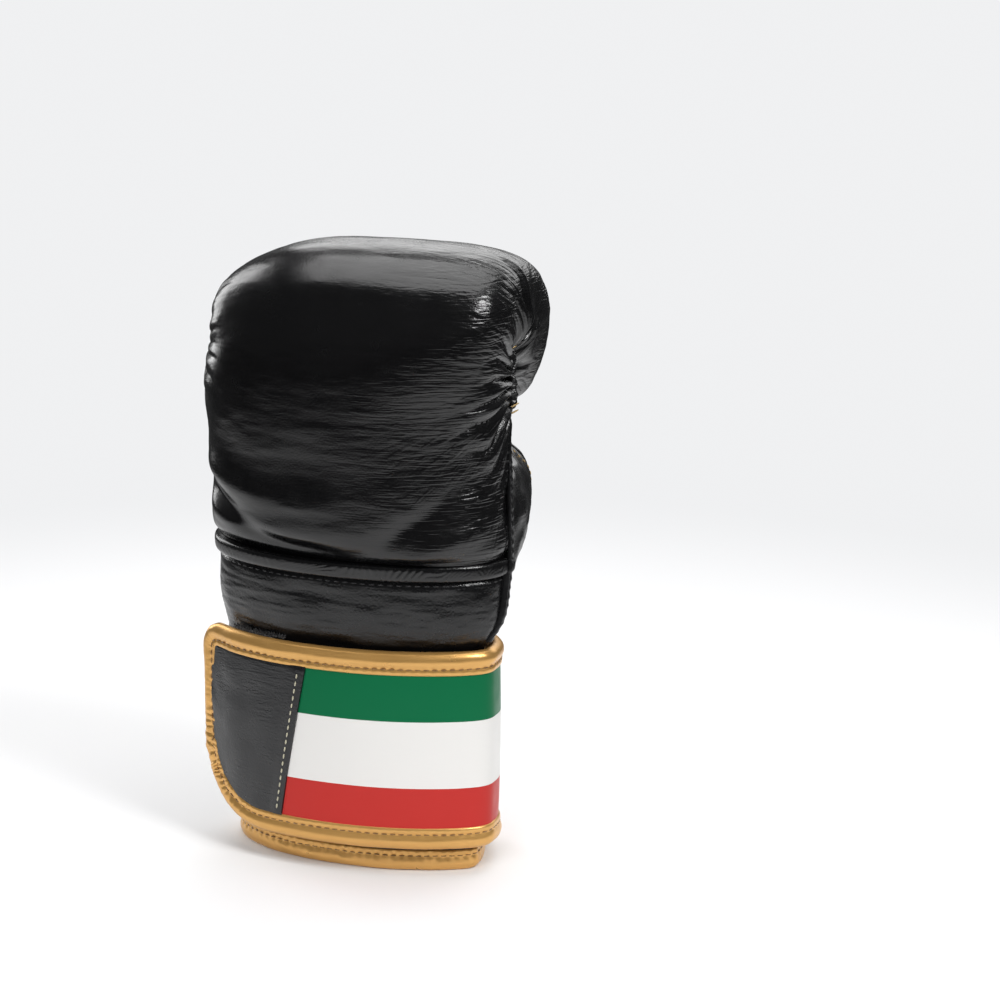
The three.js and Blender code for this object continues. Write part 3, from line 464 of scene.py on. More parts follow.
class Workshop:
    """Makes objects from bmesh shapes and hands them to the frame."""

    def __init__(self) -> None:
        """Starts with no pieces."""
        self.count = 0

    def finish(
        self,
        shape: Shape,
        name: str,
        material: bpy.types.Material,
        slot: Slot | None,
        replaces: Sequence[str] = (),
        sharp: float = 50.0,
        recalculate: bool = True,
    ) -> bpy.types.Object:
        """Turns a shape into a piece of the glove.

        Args:
            shape: the mesh, already in the row frame. It is freed.
            name: the piece's name.
            material: its finish.
            slot: the record's material slot it stands for; not used.
            replaces: CAD nodes it stands for.
            sharp: edges over this angle, in degrees, stay sharp.
            recalculate: whether all faces are turned outwards first.

        Returns:
            The new object, riding on the glove's body.
        """
        if recalculate:
            bmesh.ops.recalc_face_normals(shape, faces=shape.faces)
        mesh = bpy.data.meshes.new(name)
        shape.to_mesh(mesh)
        shape.free()
        mesh.polygons.foreach_set("use_smooth", [True] * len(mesh.polygons))
        mesh.set_sharp_from_angle(angle=math.radians(sharp))
        mesh.materials.append(material)
        piece = bpy.data.objects.new(name, mesh)
        bpy.context.scene.collection.objects.link(piece)
        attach(piece, ROOT)
        if replaces:
            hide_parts(*replaces)
        self.count += 1
        LOG.info("%s: %d faces", name, len(mesh.polygons))
        return piece

    def slab(self, columns: int, rows: int, outer: Surface, inner: Surface) -> Shape:
        """A closed sheet with thickness, from its outer and inner surfaces.

        Args:
            columns: faces along the first share.
            rows: faces along the second share.
            outer: the outside, as a function of two shares.
            inner: the inside.

        Returns:
            The shape in the row frame, with the shares as its UV map.
        """
        shape = new_grid(columns, rows)
        bmesh.ops.translate(shape, verts=grow_copy(shape), vec=(0.0, 0.0, 1.0))
        flat = corner_places(shape)
        u = np.clip(flat[:, 0] + 0.5, 0.0, 1.0)
        v = np.clip(flat[:, 1] + 0.5, 0.0, 1.0)
        is_inner = flat[:, 2] > 0.5
        points = np.empty_like(flat)
        points[~is_inner] = outer(u[~is_inner], v[~is_inner])
        points[is_inner] = inner(u[is_inner], v[is_inner])
        self.place(shape, points)
        return shape

    def add_slab(
        self,
        grid: tuple[int, int],
        outer: Surface,
        inner: Surface,
        name: str,
        material: bpy.types.Material,
        slot: Slot,
        node: str,
    ) -> bpy.types.Object:
        """Makes a closed sheet into a piece.

        Args:
            grid: faces along the two shares.
            outer: the outside.
            inner: the inside.
            name: the piece's name.
            material: its finish.
            slot: the record's material slot.
            node: the CAD node it stands for.

        Returns:
            The piece.
        """
        return self.finish(self.slab(*grid, outer, inner), name, material, slot, [node])

    def tube(
        self, columns: int, rows: int, outer: Surface, inner: Surface | None = None
    ) -> Shape:
        """A sleeve whose first share runs once round it.

        Args:
            columns: faces round the sleeve.
            rows: faces along it.
            outer: the outside, as a function of the share round and the share along.
            inner: the inside. Without one the ends are closed with flat faces.

        Returns:
            The shape in the row frame.
        """
        shape = new_grid(columns, rows)
        flat = corner_places(shape)
        turn = TURN * (flat[:, 0] + 0.5)
        ring = stack(np.cos(turn), np.sin(turn), flat[:, 1] + 0.5)
        for vertex, point in zip(shape.verts, ring):
            vertex.co = point
        bmesh.ops.remove_doubles(shape, verts=shape.verts, dist=1e-5)
        if inner is not None:
            bmesh.ops.scale(shape, verts=grow_copy(shape), vec=(2.0, 2.0, 1.0))
        round_points = corner_places(shape)
        u = (np.arctan2(round_points[:, 1], round_points[:, 0]) / TURN) % 1.0
        u = np.where(u > 1.0 - 1e-6, 0.0, u)
        v = np.clip(round_points[:, 2], 0.0, 1.0)
        is_inner = np.hypot(round_points[:, 0], round_points[:, 1]) > 1.5
        points = np.empty_like(round_points)
        points[~is_inner] = outer(u[~is_inner], v[~is_inner])
        if inner is not None:
            points[is_inner] = inner(u[is_inner], v[is_inner])
        self.place(shape, points)
        if inner is None:
            rims = [edge for edge in shape.edges if edge.is_boundary]
            bmesh.ops.holes_fill(shape, edges=rims, sides=0)
        return shape

    def ring(self, around: int, along: int, place: Surface) -> Shape:
        """A closed hoop: both shares run once round."""
        shape = new_grid(around, along)
        flat = corner_places(shape)
        self.place(shape, place(flat[:, 0] + 0.5, flat[:, 1] + 0.5))
        bmesh.ops.remove_doubles(shape, verts=shape.verts, dist=1e-7)
        return shape

    def place(self, shape: Shape, points: Array) -> None:
        """Moves a shape's vertices to points given in millimetres."""
        for vertex, point in zip(shape.verts, to_row_frame(points)):
            vertex.co = point

    def set_attribute(self, piece: bpy.types.Object, name: str, values: Array) -> None:
        """Stores one number on each vertex of a piece, for its material."""
        attribute = piece.data.attributes.new(name, "FLOAT", "POINT")
        attribute.data.foreach_set("value", np.asarray(values, np.float32))


@dataclass
class Stitching:
    """Rows of thread stitches, each a small capsule half sunk in the leather."""

    workshop: Workshop
    name: str
    length: float = 2.9
    gap: float = 0.9
    thread: float = 0.62
    lift: float = 0.12
    batch_size: int = 24
    path_steps: int = 600
    shape: Shape = field(default_factory=bmesh.new)
    batch: Shape = field(default_factory=bmesh.new)
    waiting: int = 0

    def flush(self) -> None:
        """Adds the waiting stitches to the piece."""
        carrier = bpy.data.meshes.new("stitch_batch")
        self.batch.to_mesh(carrier)
        self.shape.from_mesh(carrier)
        bpy.data.meshes.remove(carrier)
        self.batch.clear()
        self.waiting = 0

    def add(self, start: Array, end: Array, normal: Array, thread: float | None = None) -> None:
        """Adds one stitch.

        Args:
            start: where the thread comes out of the leather, in millimetres.
            end: where it goes in.
            normal: direction out of the leather.
            thread: its thickness, if not the row's own.
        """
        thick = thread or self.thread
        along = end - start
        size = float(np.linalg.norm(along))
        forward = along / max(size, 1e-6)
        up = normal - forward * float(np.dot(normal, forward))
        up = up / max(float(np.linalg.norm(up)), 1e-6)
        side = np.cross(up, forward)
        middle = to_row_frame((start + end) / 2.0 + up * self.lift)
        columns = np.column_stack([side * thick, up * thick, forward * size]) * MILLIMETRE
        matrix = Matrix.Translation(Vector(middle)) @ Matrix(columns.tolist()).to_4x4()
        bmesh.ops.create_uvsphere(self.batch, u_segments=8, v_segments=6, radius=0.5, matrix=matrix)
        self.waiting += 1
        if self.waiting >= self.batch_size:
            self.flush()

    def row(self, path: Profile, normal: Profile) -> None:
        """Sews along a path.

        Args:
            path: points for shares 0 to 1.
            normal: directions out of the leather for the same shares.
        """
        shares = np.linspace(0.0, 1.0, self.path_steps)
        runs = run_lengths(path(shares))
        pitch = self.length + self.gap
        number = max(int(runs[-1] / pitch), 1)
        for k in range(number):
            begin = (k * pitch + self.gap / 2.0) * runs[-1] / (number * pitch)
            ends = np.interp([begin, begin + self.length], runs, shares)
            placed = path(ends)
            self.add(placed[0], placed[1], normal(ends)[0])

    def row_out(self, path: Profile, middle: Array | float = 0.0) -> None:
        """Sews along a path on an upright surface.

        Args:
            path: points for shares 0 to 1.
            middle: a place the surface stands round.
        """

        def out(share: Array) -> Array:
            """Level directions away from the middle."""
            return unit((path(share) - middle) * LEVEL)

        self.row(path, out)

    def sew(self, material: bpy.types.Material, slot: Slot) -> bpy.types.Object:
        """Finishes all the stitches as one piece."""
        self.flush()
        self.batch.free()
        return self.workshop.finish(self.shape, self.name, material, slot, sharp=180.0)


class NodeBench:
    """Adds and joins the nodes of one material or group."""

    def __init__(self, tree: bpy.types.NodeTree) -> None:
        """Works on a tree.

        Args:
            tree: the material's or the group's node tree.
        """
        self.tree = tree

    def add(self, kind: str, **settings: object) -> bpy.types.Node:
        """Adds a node and sets its options."""
        node = self.tree.nodes.new(kind)
        for key, value in settings.items():
            setattr(node, key, value)
        return node

    def link(self, source: Socket, target: Socket) -> None:
        """Joins two sockets."""
        self.tree.links.new(source, target)

    def feed(self, socket: Socket, value: object) -> None:
        """Joins a socket to another, or gives it a plain value."""
        if isinstance(value, Socket):
            self.link(value, socket)
        else:
            socket.default_value = value

    def math(
        self, operation: str, first: object, second: object = 0.0, clamp: bool = False
    ) -> Socket:
        """One sum of two numbers or sockets."""
        node = self.add("ShaderNodeMath", operation=operation, use_clamp=clamp)
        self.feed(node.inputs[0], first)
        self.feed(node.inputs[1], second)
        return node.outputs[0]

    def ranged(
        self, value: object, low: float, high: float, to_low: float = 0.0, to_high: float = 1.0
    ) -> Socket:
        """Maps a range onto another smoothly, held at its ends."""
        node = self.add("ShaderNodeMapRange", interpolation_type="SMOOTHSTEP")
        for socket, number in zip(node.inputs, (value, low, high, to_low, to_high)):
            self.feed(socket, number)
        return node.outputs["Result"]

    def blend(self, share: object, first: object, second: object, mode: str = "MIX") -> Socket:
        """Mixes two colours."""
        node = self.add("ShaderNodeMix", data_type="RGBA", blend_type=mode)
        self.feed(node.inputs["Factor"], share)
        colours = [socket for socket in node.inputs if socket.type == "RGBA"]
        self.feed(colours[0], first)
        self.feed(colours[1], second)
        return next(socket for socket in node.outputs if socket.type == "RGBA")

    def stretched(self, vector: object, scale: Sequence[float]) -> Socket:
        """Scales a coordinate."""
        node = self.add("ShaderNodeMapping")
        self.feed(node.inputs["Vector"], vector)
        node.inputs["Scale"].default_value = tuple(scale)
        return node.outputs["Vector"]

    def noise(self, vector: object, scale: float, detail: float, rough: float = 0.5) -> Socket:
        """Cloudy noise."""
        node = self.add("ShaderNodeTexNoise")
        self.feed(node.inputs["Vector"], vector)
        node.inputs["Scale"].default_value = scale
        node.inputs["Detail"].default_value = detail
        node.inputs["Roughness"].default_value = rough
        return node.outputs[0]

    def ridged(self, pattern: Socket, width: float) -> Socket:
        """Thin lines where a noise crosses its middle value."""
        away = self.math("ABSOLUTE", self.math("SUBTRACT", pattern, 0.5))
        return self.ranged(away, 0.0, width)

    def bump(
        self, height: Socket, distance: float, strength: object = 1.0, normal: Socket | None = None
    ) -> Socket:
        """A bump some millimetres high, on a normal if one is given."""
        node = self.add("ShaderNodeBump")
        node.inputs["Distance"].default_value = distance * MILLIMETRE
        self.feed(node.inputs["Strength"], strength)
        self.link(height, node.inputs["Height"])
        if normal is not None:
            self.link(normal, node.inputs["Normal"])
        return node.outputs["Normal"]

    def cells(self, vector: object, scale: float, feature: str = "F1") -> Socket:
        """Distance pattern of round cells."""
        node = self.add("ShaderNodeTexVoronoi", feature=feature)
        self.feed(node.inputs["Vector"], vector)
        node.inputs["Scale"].default_value = scale
        return node.outputs["Distance"]


def new_group(name: str, inputs: Sequence[tuple], outputs: Sequence[tuple]) -> bpy.types.NodeTree:
    """An empty shader node group with its sockets.

    Args:
        name: the group's name.
        inputs: name, socket type and default of each input.
        outputs: name and socket type of each output.

    Returns:
        The group's tree.
    """
    group = bpy.data.node_groups.new(name, "ShaderNodeTree")
    for label, kind, default in inputs:
        socket = group.interface.new_socket(name=label, in_out="INPUT", socket_type=kind)
        if default is not None:
            socket.default_value = default
    for label, kind in outputs:
        group.interface.new_socket(name=label, in_out="OUTPUT", socket_type=kind)
    return group


class ShaderGroups:
    """The effects that several finishes share."""

    def __init__(self) -> None:
        """Builds each group once."""
        self.grain = self.make_grain()
        self.wear_and_shade = self.make_wear_and_shade()

    def make_grain(self) -> bpy.types.NodeTree:
        """Leather grain: pebbles, pores and long fine wrinkles."""
        group = new_group(
            "leather_grain",
            [
                ("Vector", "NodeSocketVector", None),
                ("Pebbles", "NodeSocketFloat", 1.0),
                ("Wrinkles", "NodeSocketFloat", 0.5),
            ],
            [("Height", "NodeSocketFloat"), ("Tone", "NodeSocketFloat")],
        )
        bench = NodeBench(group)
        source = bench.add("NodeGroupInput")
        sink = bench.add("NodeGroupOutput")
        vector = source.outputs["Vector"]
        pebble = bench.cells(vector, 1300.0, "SMOOTH_F1")
        pores = bench.noise(vector, 3200.0, 1.0)
        lines = bench.noise(bench.stretched(vector, (0.16, 0.16, 1.0)), 560.0, 3.0, 0.55)
        patches = bench.ranged(bench.noise(vector, 46.0, 1.0), 0.38, 0.66, 0.1)
        wrinkle = bench.math("MULTIPLY", bench.ridged(lines, 0.16), patches)
        soft = bench.math("MULTIPLY", bench.math("SUBTRACT", 0.6, pebble), source.outputs["Pebbles"])
        fine = bench.math("MULTIPLY", pores, 0.2)
        cut = bench.math("MULTIPLY", wrinkle, source.outputs["Wrinkles"])
        height = bench.math("ADD", bench.math("ADD", soft, fine), cut)
        bench.link(height, sink.inputs["Height"])
        bench.link(bench.ranged(height, 0.2, 1.4), sink.inputs["Tone"])
        return group

    def make_wear_and_shade(self) -> bpy.types.NodeTree:
        """Ridges and hollows of a surface: rubbed wear and painted highlight on ridges, painted shade in the
        hollows of creases.
        """
        group = new_group(
            "edge_wear_and_crease_shade",
            [("Spread", "NodeSocketFloat", 1.0)],
            [("Ridge", "NodeSocketFloat"), ("Hollow", "NodeSocketFloat")],
        )
        bench = NodeBench(group)
        source = bench.add("NodeGroupInput")
        sink = bench.add("NodeGroupOutput")
        point = bench.add("ShaderNodeNewGeometry").outputs["Pointiness"]
        away = bench.math("MULTIPLY", bench.math("SUBTRACT", point, 0.5), source.outputs["Spread"])
        # Ridge: where rubbed wear and a painted highlight go
        bench.link(bench.ranged(away, 0.02, 0.12), sink.inputs["Ridge"])
        # Hollow: where the painted shade of creases goes, and the duller gloss there
        bench.link(bench.ranged(away, -0.12, -0.01, 1.0, 0.0), sink.inputs["Hollow"])
        return group


def new_material(name: str) -> tuple[bpy.types.Material, NodeBench, bpy.types.Node]:
    """A material, the bench for its nodes and its Principled shader."""
    material = bpy.data.materials.new(name)
    material.use_nodes = True
    return material, NodeBench(material.node_tree), material.node_tree.nodes["Principled BSDF"]


def opaque(colour: Colour) -> tuple[float, float, float, float]:
    """A colour with full alpha."""
    return (*colour, 1.0)


@dataclass(frozen=True)
class LeatherFinish:
    """A leather: its colour, gloss and grain."""

    name: str
    colour: Colour
    # dark: tone for random mottling, grain pits and the painted shade in hollows; light: tone for rubbed
    # wear and painted highlight on ridges
    dark: Colour
    light: Colour
    roughness: float
    rough_spread: float = 0.12
    metallic: float = 0.0
    coat: float = 0.0
    coat_roughness: float = 0.2
    specular: float = 0.5
    grain: float = 0.12
    pebbles: float = 1.0
    wrinkles: float = 0.5
    grain_scale: tuple[float, float, float] = (1.0, 1.0, 1.0)
    gather_creases: float = 0.0

    def build(self, groups: ShaderGroups) -> bpy.types.Material:
        """Makes the material.

        Args:
            groups: the shared effects.

        Returns:
            The finished material.
        """
        material, bench, shader = new_material(self.name)
        constants = {
            "Metallic": self.metallic,
            "Coat Weight": self.coat,
            "Coat Roughness": self.coat_roughness,
            "Specular IOR Level": self.specular,
        }
        for socket, value in constants.items():
            shader.inputs[socket].default_value = value
        place = bench.add("ShaderNodeTexCoord").outputs["Object"]
        grain = bench.add("ShaderNodeGroup", node_tree=groups.grain)
        bench.link(bench.stretched(place, self.grain_scale), grain.inputs["Vector"])
        grain.inputs["Pebbles"].default_value = self.pebbles
        grain.inputs["Wrinkles"].default_value = self.wrinkles
        wear_and_shade = bench.add("ShaderNodeGroup", node_tree=groups.wear_and_shade)
        clouds = bench.noise(place, 38.0, 3.0)
        dark = opaque(self.dark)
        tone = bench.blend(bench.ranged(clouds, 0.3, 0.7), dark, opaque(self.colour))
        # Rubbed wear and painted highlight: the light tone laid on ridges
        tone = bench.blend(wear_and_shade.outputs["Ridge"], tone, opaque(self.light))
        # Painted shade: the dark tone laid into the hollows of creases
        tone = bench.blend(wear_and_shade.outputs["Hollow"], tone, dark)
        tone = bench.blend(bench.math("MULTIPLY", grain.outputs["Tone"], 0.25), dark, tone)
        bench.link(tone, shader.inputs["Base Color"])
        mottled = bench.noise(place, 120.0, 3.0)
        glossy = self.roughness - self.rough_spread / 2.0
        dull = self.roughness + self.rough_spread / 2.0
        rough = bench.ranged(mottled, 0.25, 0.75, glossy, dull)
        hollows = bench.math("MULTIPLY", wear_and_shade.outputs["Hollow"], 0.12)
        rough = bench.math("ADD", rough, hollows, clamp=True)
        bench.link(rough, shader.inputs["Roughness"])
        normal = bench.bump(grain.outputs["Height"], self.grain)
        if self.gather_creases > 0.0:
            normal = self.fan_creases(bench, normal)
        bench.link(normal, shader.inputs["Normal"])
        return material

    def fan_creases(self, bench: NodeBench, normal: Socket) -> Socket:
        """Adds the fine creases that fan out from the gathered seam, on the piece's attributes.

        Args:
            bench: the material's nodes.
            normal: the normal so far.

        Returns:
            The normal with the creases.
        """
        angle = bench.add("ShaderNodeAttribute", attribute_name="fan_angle").outputs["Fac"]
        away = bench.add("ShaderNodeAttribute", attribute_name="fan_away").outputs["Fac"]
        reach = bench.add("ShaderNodeAttribute", attribute_name="gather").outputs["Fac"]
        place = bench.add("ShaderNodeCombineXYZ")
        bench.link(bench.math("MULTIPLY", angle, 13.0), place.inputs[0])
        bench.link(bench.math("MULTIPLY", away, 0.05), place.inputs[1])
        rays = bench.ridged(bench.noise(place.outputs[0], 1.0, 2.0), 0.16)
        flat = bench.stretched(bench.add("ShaderNodeTexCoord").outputs["Object"], (0.1, 0.1, 1.0))
        lines = bench.ridged(bench.noise(flat, 480.0, 2.0), 0.14)
        level = bench.math("MULTIPLY", lines, bench.ranged(away, 16.0, 32.0))
        height = bench.math("ADD", bench.math("MULTIPLY", rays, 0.6), level)
        return bench.bump(height, self.gather_creases, reach, normal)


@dataclass(frozen=True)
class ThreadFinish:
    """Twisted sewing thread."""

    name: str
    colour: Colour
    shade: Colour

    def build(self) -> bpy.types.Material:
        """Makes the material."""
        material, bench, shader = new_material(self.name)
        shader.inputs["Roughness"].default_value = 0.5
        shader.inputs["Sheen Weight"].default_value = 0.3
        place = bench.add("ShaderNodeTexCoord").outputs["Object"]
        wave = bench.add("ShaderNodeTexWave", bands_direction="DIAGONAL")
        bench.link(place, wave.inputs["Vector"])
        wave.inputs["Scale"].default_value = 900.0
        wave.inputs["Distortion"].default_value = 1.5
        twist = wave.outputs["Fac"]
        tone = bench.blend(twist, opaque(self.shade), opaque(self.colour))
        bench.link(tone, shader.inputs["Base Color"])
        bench.link(bench.bump(twist, 0.06), shader.inputs["Normal"])
        return material


@dataclass(frozen=True)
class ClothFinish:
    """A matt textile: netting or loop pile."""

    name: str
    colour: Colour
    light: Colour
    scale: float
    depth: float
    roughness: float = 0.9
    sheen: float = 0.4

    def build(self) -> bpy.types.Material:
        """Makes the material."""
        material, bench, shader = new_material(self.name)
        shader.inputs["Sheen Weight"].default_value = self.sheen
        place = bench.add("ShaderNodeTexCoord").outputs["Object"]
        yarn = bench.cells(place, self.scale)
        fluff = bench.noise(place, self.scale * 1.7, 3.0)
        height = bench.math("ADD", bench.math("MULTIPLY", yarn, -1.0), fluff)
        share = bench.ranged(height, -0.4, 0.8)
        tone = bench.blend(share, opaque(self.colour), opaque(self.light))
        bench.link(tone, shader.inputs["Base Color"])
        rough = bench.ranged(fluff, 0.3, 0.7, self.roughness - 0.1, self.roughness)
        bench.link(rough, shader.inputs["Roughness"])
        bench.link(bench.bump(height, self.depth), shader.inputs["Normal"])
        return material


class Finishes:
    """Every material on the glove."""

    def __init__(self) -> None:
        """Builds the shared effects, then each finish."""
        groups = ShaderGroups()
        self.black = LeatherFinish(
            "black_glazed_leather", (0.0036, 0.0036, 0.004), (0.0022, 0.0022, 0.0025), (0.012, 0.012, 0.013),
            0.24, rough_spread=0.08, specular=0.55, grain=0.042, pebbles=0.9, wrinkles=0.45,
            gather_creases=0.13,
        ).build(groups)
        self.band = LeatherFinish(
            "black_band_leather", (0.0045, 0.0045, 0.005), (0.003, 0.003, 0.0034), (0.013, 0.013, 0.014),
            0.28, rough_spread=0.08, specular=0.5, grain=0.06, pebbles=1.4, wrinkles=0.25,
            grain_scale=(0.8, 0.8, 0.9),
        ).build(groups)
        self.palm = LeatherFinish(
            "black_palm_leather", (0.0065, 0.0065, 0.0072), (0.0045, 0.0045, 0.005), (0.017, 0.017, 0.018),
            0.34, specular=0.5, grain=0.06, pebbles=1.0, wrinkles=0.5,
        ).build(groups)
        self.thumb = LeatherFinish(
            "black_thumb_leather", (0.0036, 0.0036, 0.004), (0.0024, 0.0024, 0.0027), (0.013, 0.013, 0.014),
            0.26, specular=0.6, coat=0.1, coat_roughness=0.2, grain=0.045, pebbles=0.6, wrinkles=1.2,
        ).build(groups)
        self.grey = LeatherFinish(
            "dark_grey_leather", (0.0085, 0.0087, 0.0098), (0.006, 0.0062, 0.0072), (0.026, 0.0265, 0.03),
            0.3, specular=0.6, grain=0.06, pebbles=1.0, wrinkles=0.7,
        ).build(groups)
        self.gold = LeatherFinish(
            "gold_foil_leather", (0.9, 0.58, 0.23), (0.68, 0.38, 0.115), (1.0, 0.8, 0.5),
            0.31, metallic=0.66, rough_spread=0.08, specular=0.7, grain=0.016, pebbles=0.7, wrinkles=0.6,
        ).build(groups)
        self.green = LeatherFinish(
            "green_smooth_leather", (0.0, 0.15, 0.055), (0.0, 0.125, 0.045), (0.02, 0.23, 0.1),
            0.38, specular=0.16, grain=0.015, pebbles=0.6, wrinkles=0.5,
        ).build(groups)
        self.white = LeatherFinish(
            "white_smooth_leather", (0.8, 0.79, 0.77), (0.74, 0.73, 0.71), (0.86, 0.85, 0.84),
            0.38, coat=0.05, specular=0.4, grain=0.015, pebbles=0.5, wrinkles=0.4,
        ).build(groups)
        self.red = LeatherFinish(
            "red_smooth_leather", (0.56, 0.036, 0.03), (0.48, 0.03, 0.025), (0.68, 0.09, 0.075),
            0.38, specular=0.16, grain=0.015, pebbles=0.6, wrinkles=0.5,
        ).build(groups)
        net = ClothFinish("vent_netting", (0.01, 0.01, 0.012), (0.035, 0.035, 0.04), 2200.0, 0.12)
        pile = ClothFinish("loop_pile", (0.006, 0.006, 0.007), (0.03, 0.03, 0.033), 1100.0, 0.5)
        self.net, self.pile = net.build(), pile.build()
        threads = (
            ThreadFinish("gold_thread", (0.62, 0.43, 0.17), (0.3, 0.19, 0.06)),
            ThreadFinish("pale_thread", (0.62, 0.59, 0.45), (0.36, 0.33, 0.22)),
            ThreadFinish("brown_thread", (0.3, 0.15, 0.035), (0.14, 0.06, 0.012)),
            ThreadFinish("black_thread", (0.02, 0.02, 0.022), (0.006, 0.006, 0.007)),
        )
        built = [thread.build() for thread in threads]
        self.gold_thread, self.pale_thread, self.brown_thread, self.black_thread = built


@dataclass
class FistPad:
    """The padded leather over the back of the hand, the knuckles and the roll."""

    form: GloveForm
    workshop: Workshop
    finishes: Finishes
    pocket_depth: float = 33.0
    edge_wall: float = 2.6
    corner_wall: float = 0.6
    corner_depth: float = 0.8
    thumb_overhang: float = 0.7
    pinky_overhang: float = 0.05
    thumb_corner: float = 3.4
    pinky_corner: float = 2.3
    thumb_gather: float = 6.0
    pinky_gather: float = 3.0
    gather_arch: float = 0.25
    roll_end_grip: float = 3.0
    corner_reach: float = 34.0
    thumb_line: float = 28.0
    pinky_line: float = 14.0
    back_pleats: float = 12.0
    roll_pleats: float = 8.0
    columns: int = 240
    rows: int = 390
    noise: Noise = field(default_factory=lambda: Noise(11))

    def middle_line(self, out: int, drop: int, back: float, roll: float, end: float) -> Array:
        """Points of the pad's middle line in the plane x = 0.

        Args:
            out: column of the outward shares.
            drop: column of the drops.
            back: depth over the back of the hand.
            roll: depth of the roll.
            end: depth where the line ends on the palm.

        Returns:
            One point for each row and one for the end.
        """
        form = self.form
        is_roll = PAD_ROWS[:, 0] > 0
        y = PAD_ROWS[:, out] * np.where(is_roll, roll, -back)
        pad_height = form.height - form.band_top_middle
        z = form.height - PAD_ROWS[:, drop] * np.where(is_roll, form.roll_drop, pad_height)
        return stack(0.0 * y, y, z)[:, 1:].tolist() + [[end, form.roll_end]]

    def along_line(self, line: Array, share: Array) -> Array:
        """Points of a centripetal spline through a line, at shares of its rows."""
        knots = np.array(line)
        knots = np.vstack([2 * knots[0] - knots[1], knots, 2 * knots[-1] - knots[-2]])
        place = np.clip(share, 0.0, 1.0) * (len(line) - 1)
        low = np.minimum(place.astype(int), len(line) - 2)
        t = (place - low)[:, None]
        a, b, c, d = (knots[low + k] for k in range(4))
        step = [np.sqrt(np.linalg.norm(q - p, axis=1))[:, None] for p, q in ((a, b), (b, c), (c, d))]
        leave = ((b - a) / step[0] - (c - a) / (step[0] + step[1]) + (c - b) / step[1]) * step[1]
        arrive = ((c - b) / step[1] - (d - b) / (step[1] + step[2]) + (d - c) / step[2]) * step[1]
        cubic = 2 * b - 2 * c + leave + arrive
        square = -3 * b + 3 * c - 2 * leave - arrive
        return ((cubic * t + square) * t + leave) * t + b

    def edge(self, side: Side, row: Array) -> Array:
        """Where the pad is sewn at a side: up the seam, round the gather, down the roll's end."""
        form = self.form
        sign = side.value
        is_thumb = side is Side.THUMB
        gather = self.thumb_gather if is_thumb else self.pinky_gather
        foot = form.band_top(sign * form.hand_width / 2.0)
        rise = mix(foot, form.gather_height, row / GATHER_START_ROW)
        low = form.section(rise)
        fold = low.fold if is_thumb else 0.0
        seam = stack(low.lean + sign * low.half, -fold - form.seam_gap / 2.0, rise)
        top = form.section(np.full_like(row, form.gather_height))
        turn = (row - GATHER_START_ROW) / (GATHER_END_ROW - GATHER_START_ROW)
        knot = stack(
            top.lean + sign * top.half,
            mix(-form.seam_gap / 2.0, gather, turn),
            form.gather_height + np.sin(math.pi * turn) * gather * self.gather_arch,
        )
        share = (row - GATHER_END_ROW) / (LAST_ROW - GATHER_END_ROW)
        if is_thumb:
            start = stack(top.lean + top.half, gather, form.gather_height)
            low_end = form.section(np.array([form.vent_bottom]))
            corner = low_end.lean + low_end.half - form.vent_width
            depth = form.palm_surface(corner, np.array([form.vent_bottom]), 0.0)
            end = stack(corner, depth, form.vent_bottom)
            fall = start + (end - start) * share[:, None]
        else:
            z = mix(form.gather_height, form.vent_bottom, share)
            body = form.section(z)
            fall = stack(body.lean - body.half, mix(gather, form.seam_gap / 2.0, smooth_step(share)), z)
        is_seam = (row <= GATHER_START_ROW)[:, None]
        is_knot = (row <= GATHER_END_ROW)[:, None]
        return np.where(is_seam, seam, np.where(is_knot, knot, fall))

    def arch(self, thumb: Array, crown: Array, pinky: Array, share: Array, bulge: Array) -> Array:
        """Points on the arch from the thumb-side edge through the crown to the other edge."""
        angle = mix(-self.thumb_overhang * bulge, math.pi + self.pinky_overhang * bulge, share)
        is_thumb = np.cos(angle) > 0
        corner = np.where(is_thumb, self.thumb_corner, self.pinky_corner)
        power = 2.0 / mix(self.form.squareness, corner, bulge)
        overhang = bulge * np.where(is_thumb, self.thumb_overhang, self.pinky_overhang)
        across = signed_power(np.cos(angle), power) / np.cos(overhang) ** power
        tuck = np.sin(overhang) ** power
        out = (signed_power(np.sin(angle), power) + tuck) / (1.0 + tuck)
        middle = (thumb + pinky) / 2.0
        half = (thumb - pinky) / 2.0
        return middle + half * across[:, None] + (crown - middle) * out[:, None]

    def settle(self, points: Array, row: Array, offset: float) -> Array:
        """Brings the last rows down onto the palm along the roll's end line."""
        form = self.form
        share = smooth_step((row - GATHER_END_ROW) / (LAST_ROW - GATHER_END_ROW))
        z = mix(points[:, 2], form.roll_end_height(points[:, 0]), share**self.roll_end_grip)
        floor = form.palm_surface(points[:, 0], z, 0.0) + offset + form.seam_gap / 2.0
        y = np.where(share < 1.0, np.maximum(points[:, 1], floor), floor)
        low = form.section(np.array([form.vent_bottom]))
        corner = low.lean + low.half - form.vent_width
        x = np.minimum(points[:, 0], corner + self.corner_reach * np.sqrt(1.0 - share))
        settled = stack(x, y, z)
        return np.where((row > GATHER_END_ROW)[:, None], settled, points)

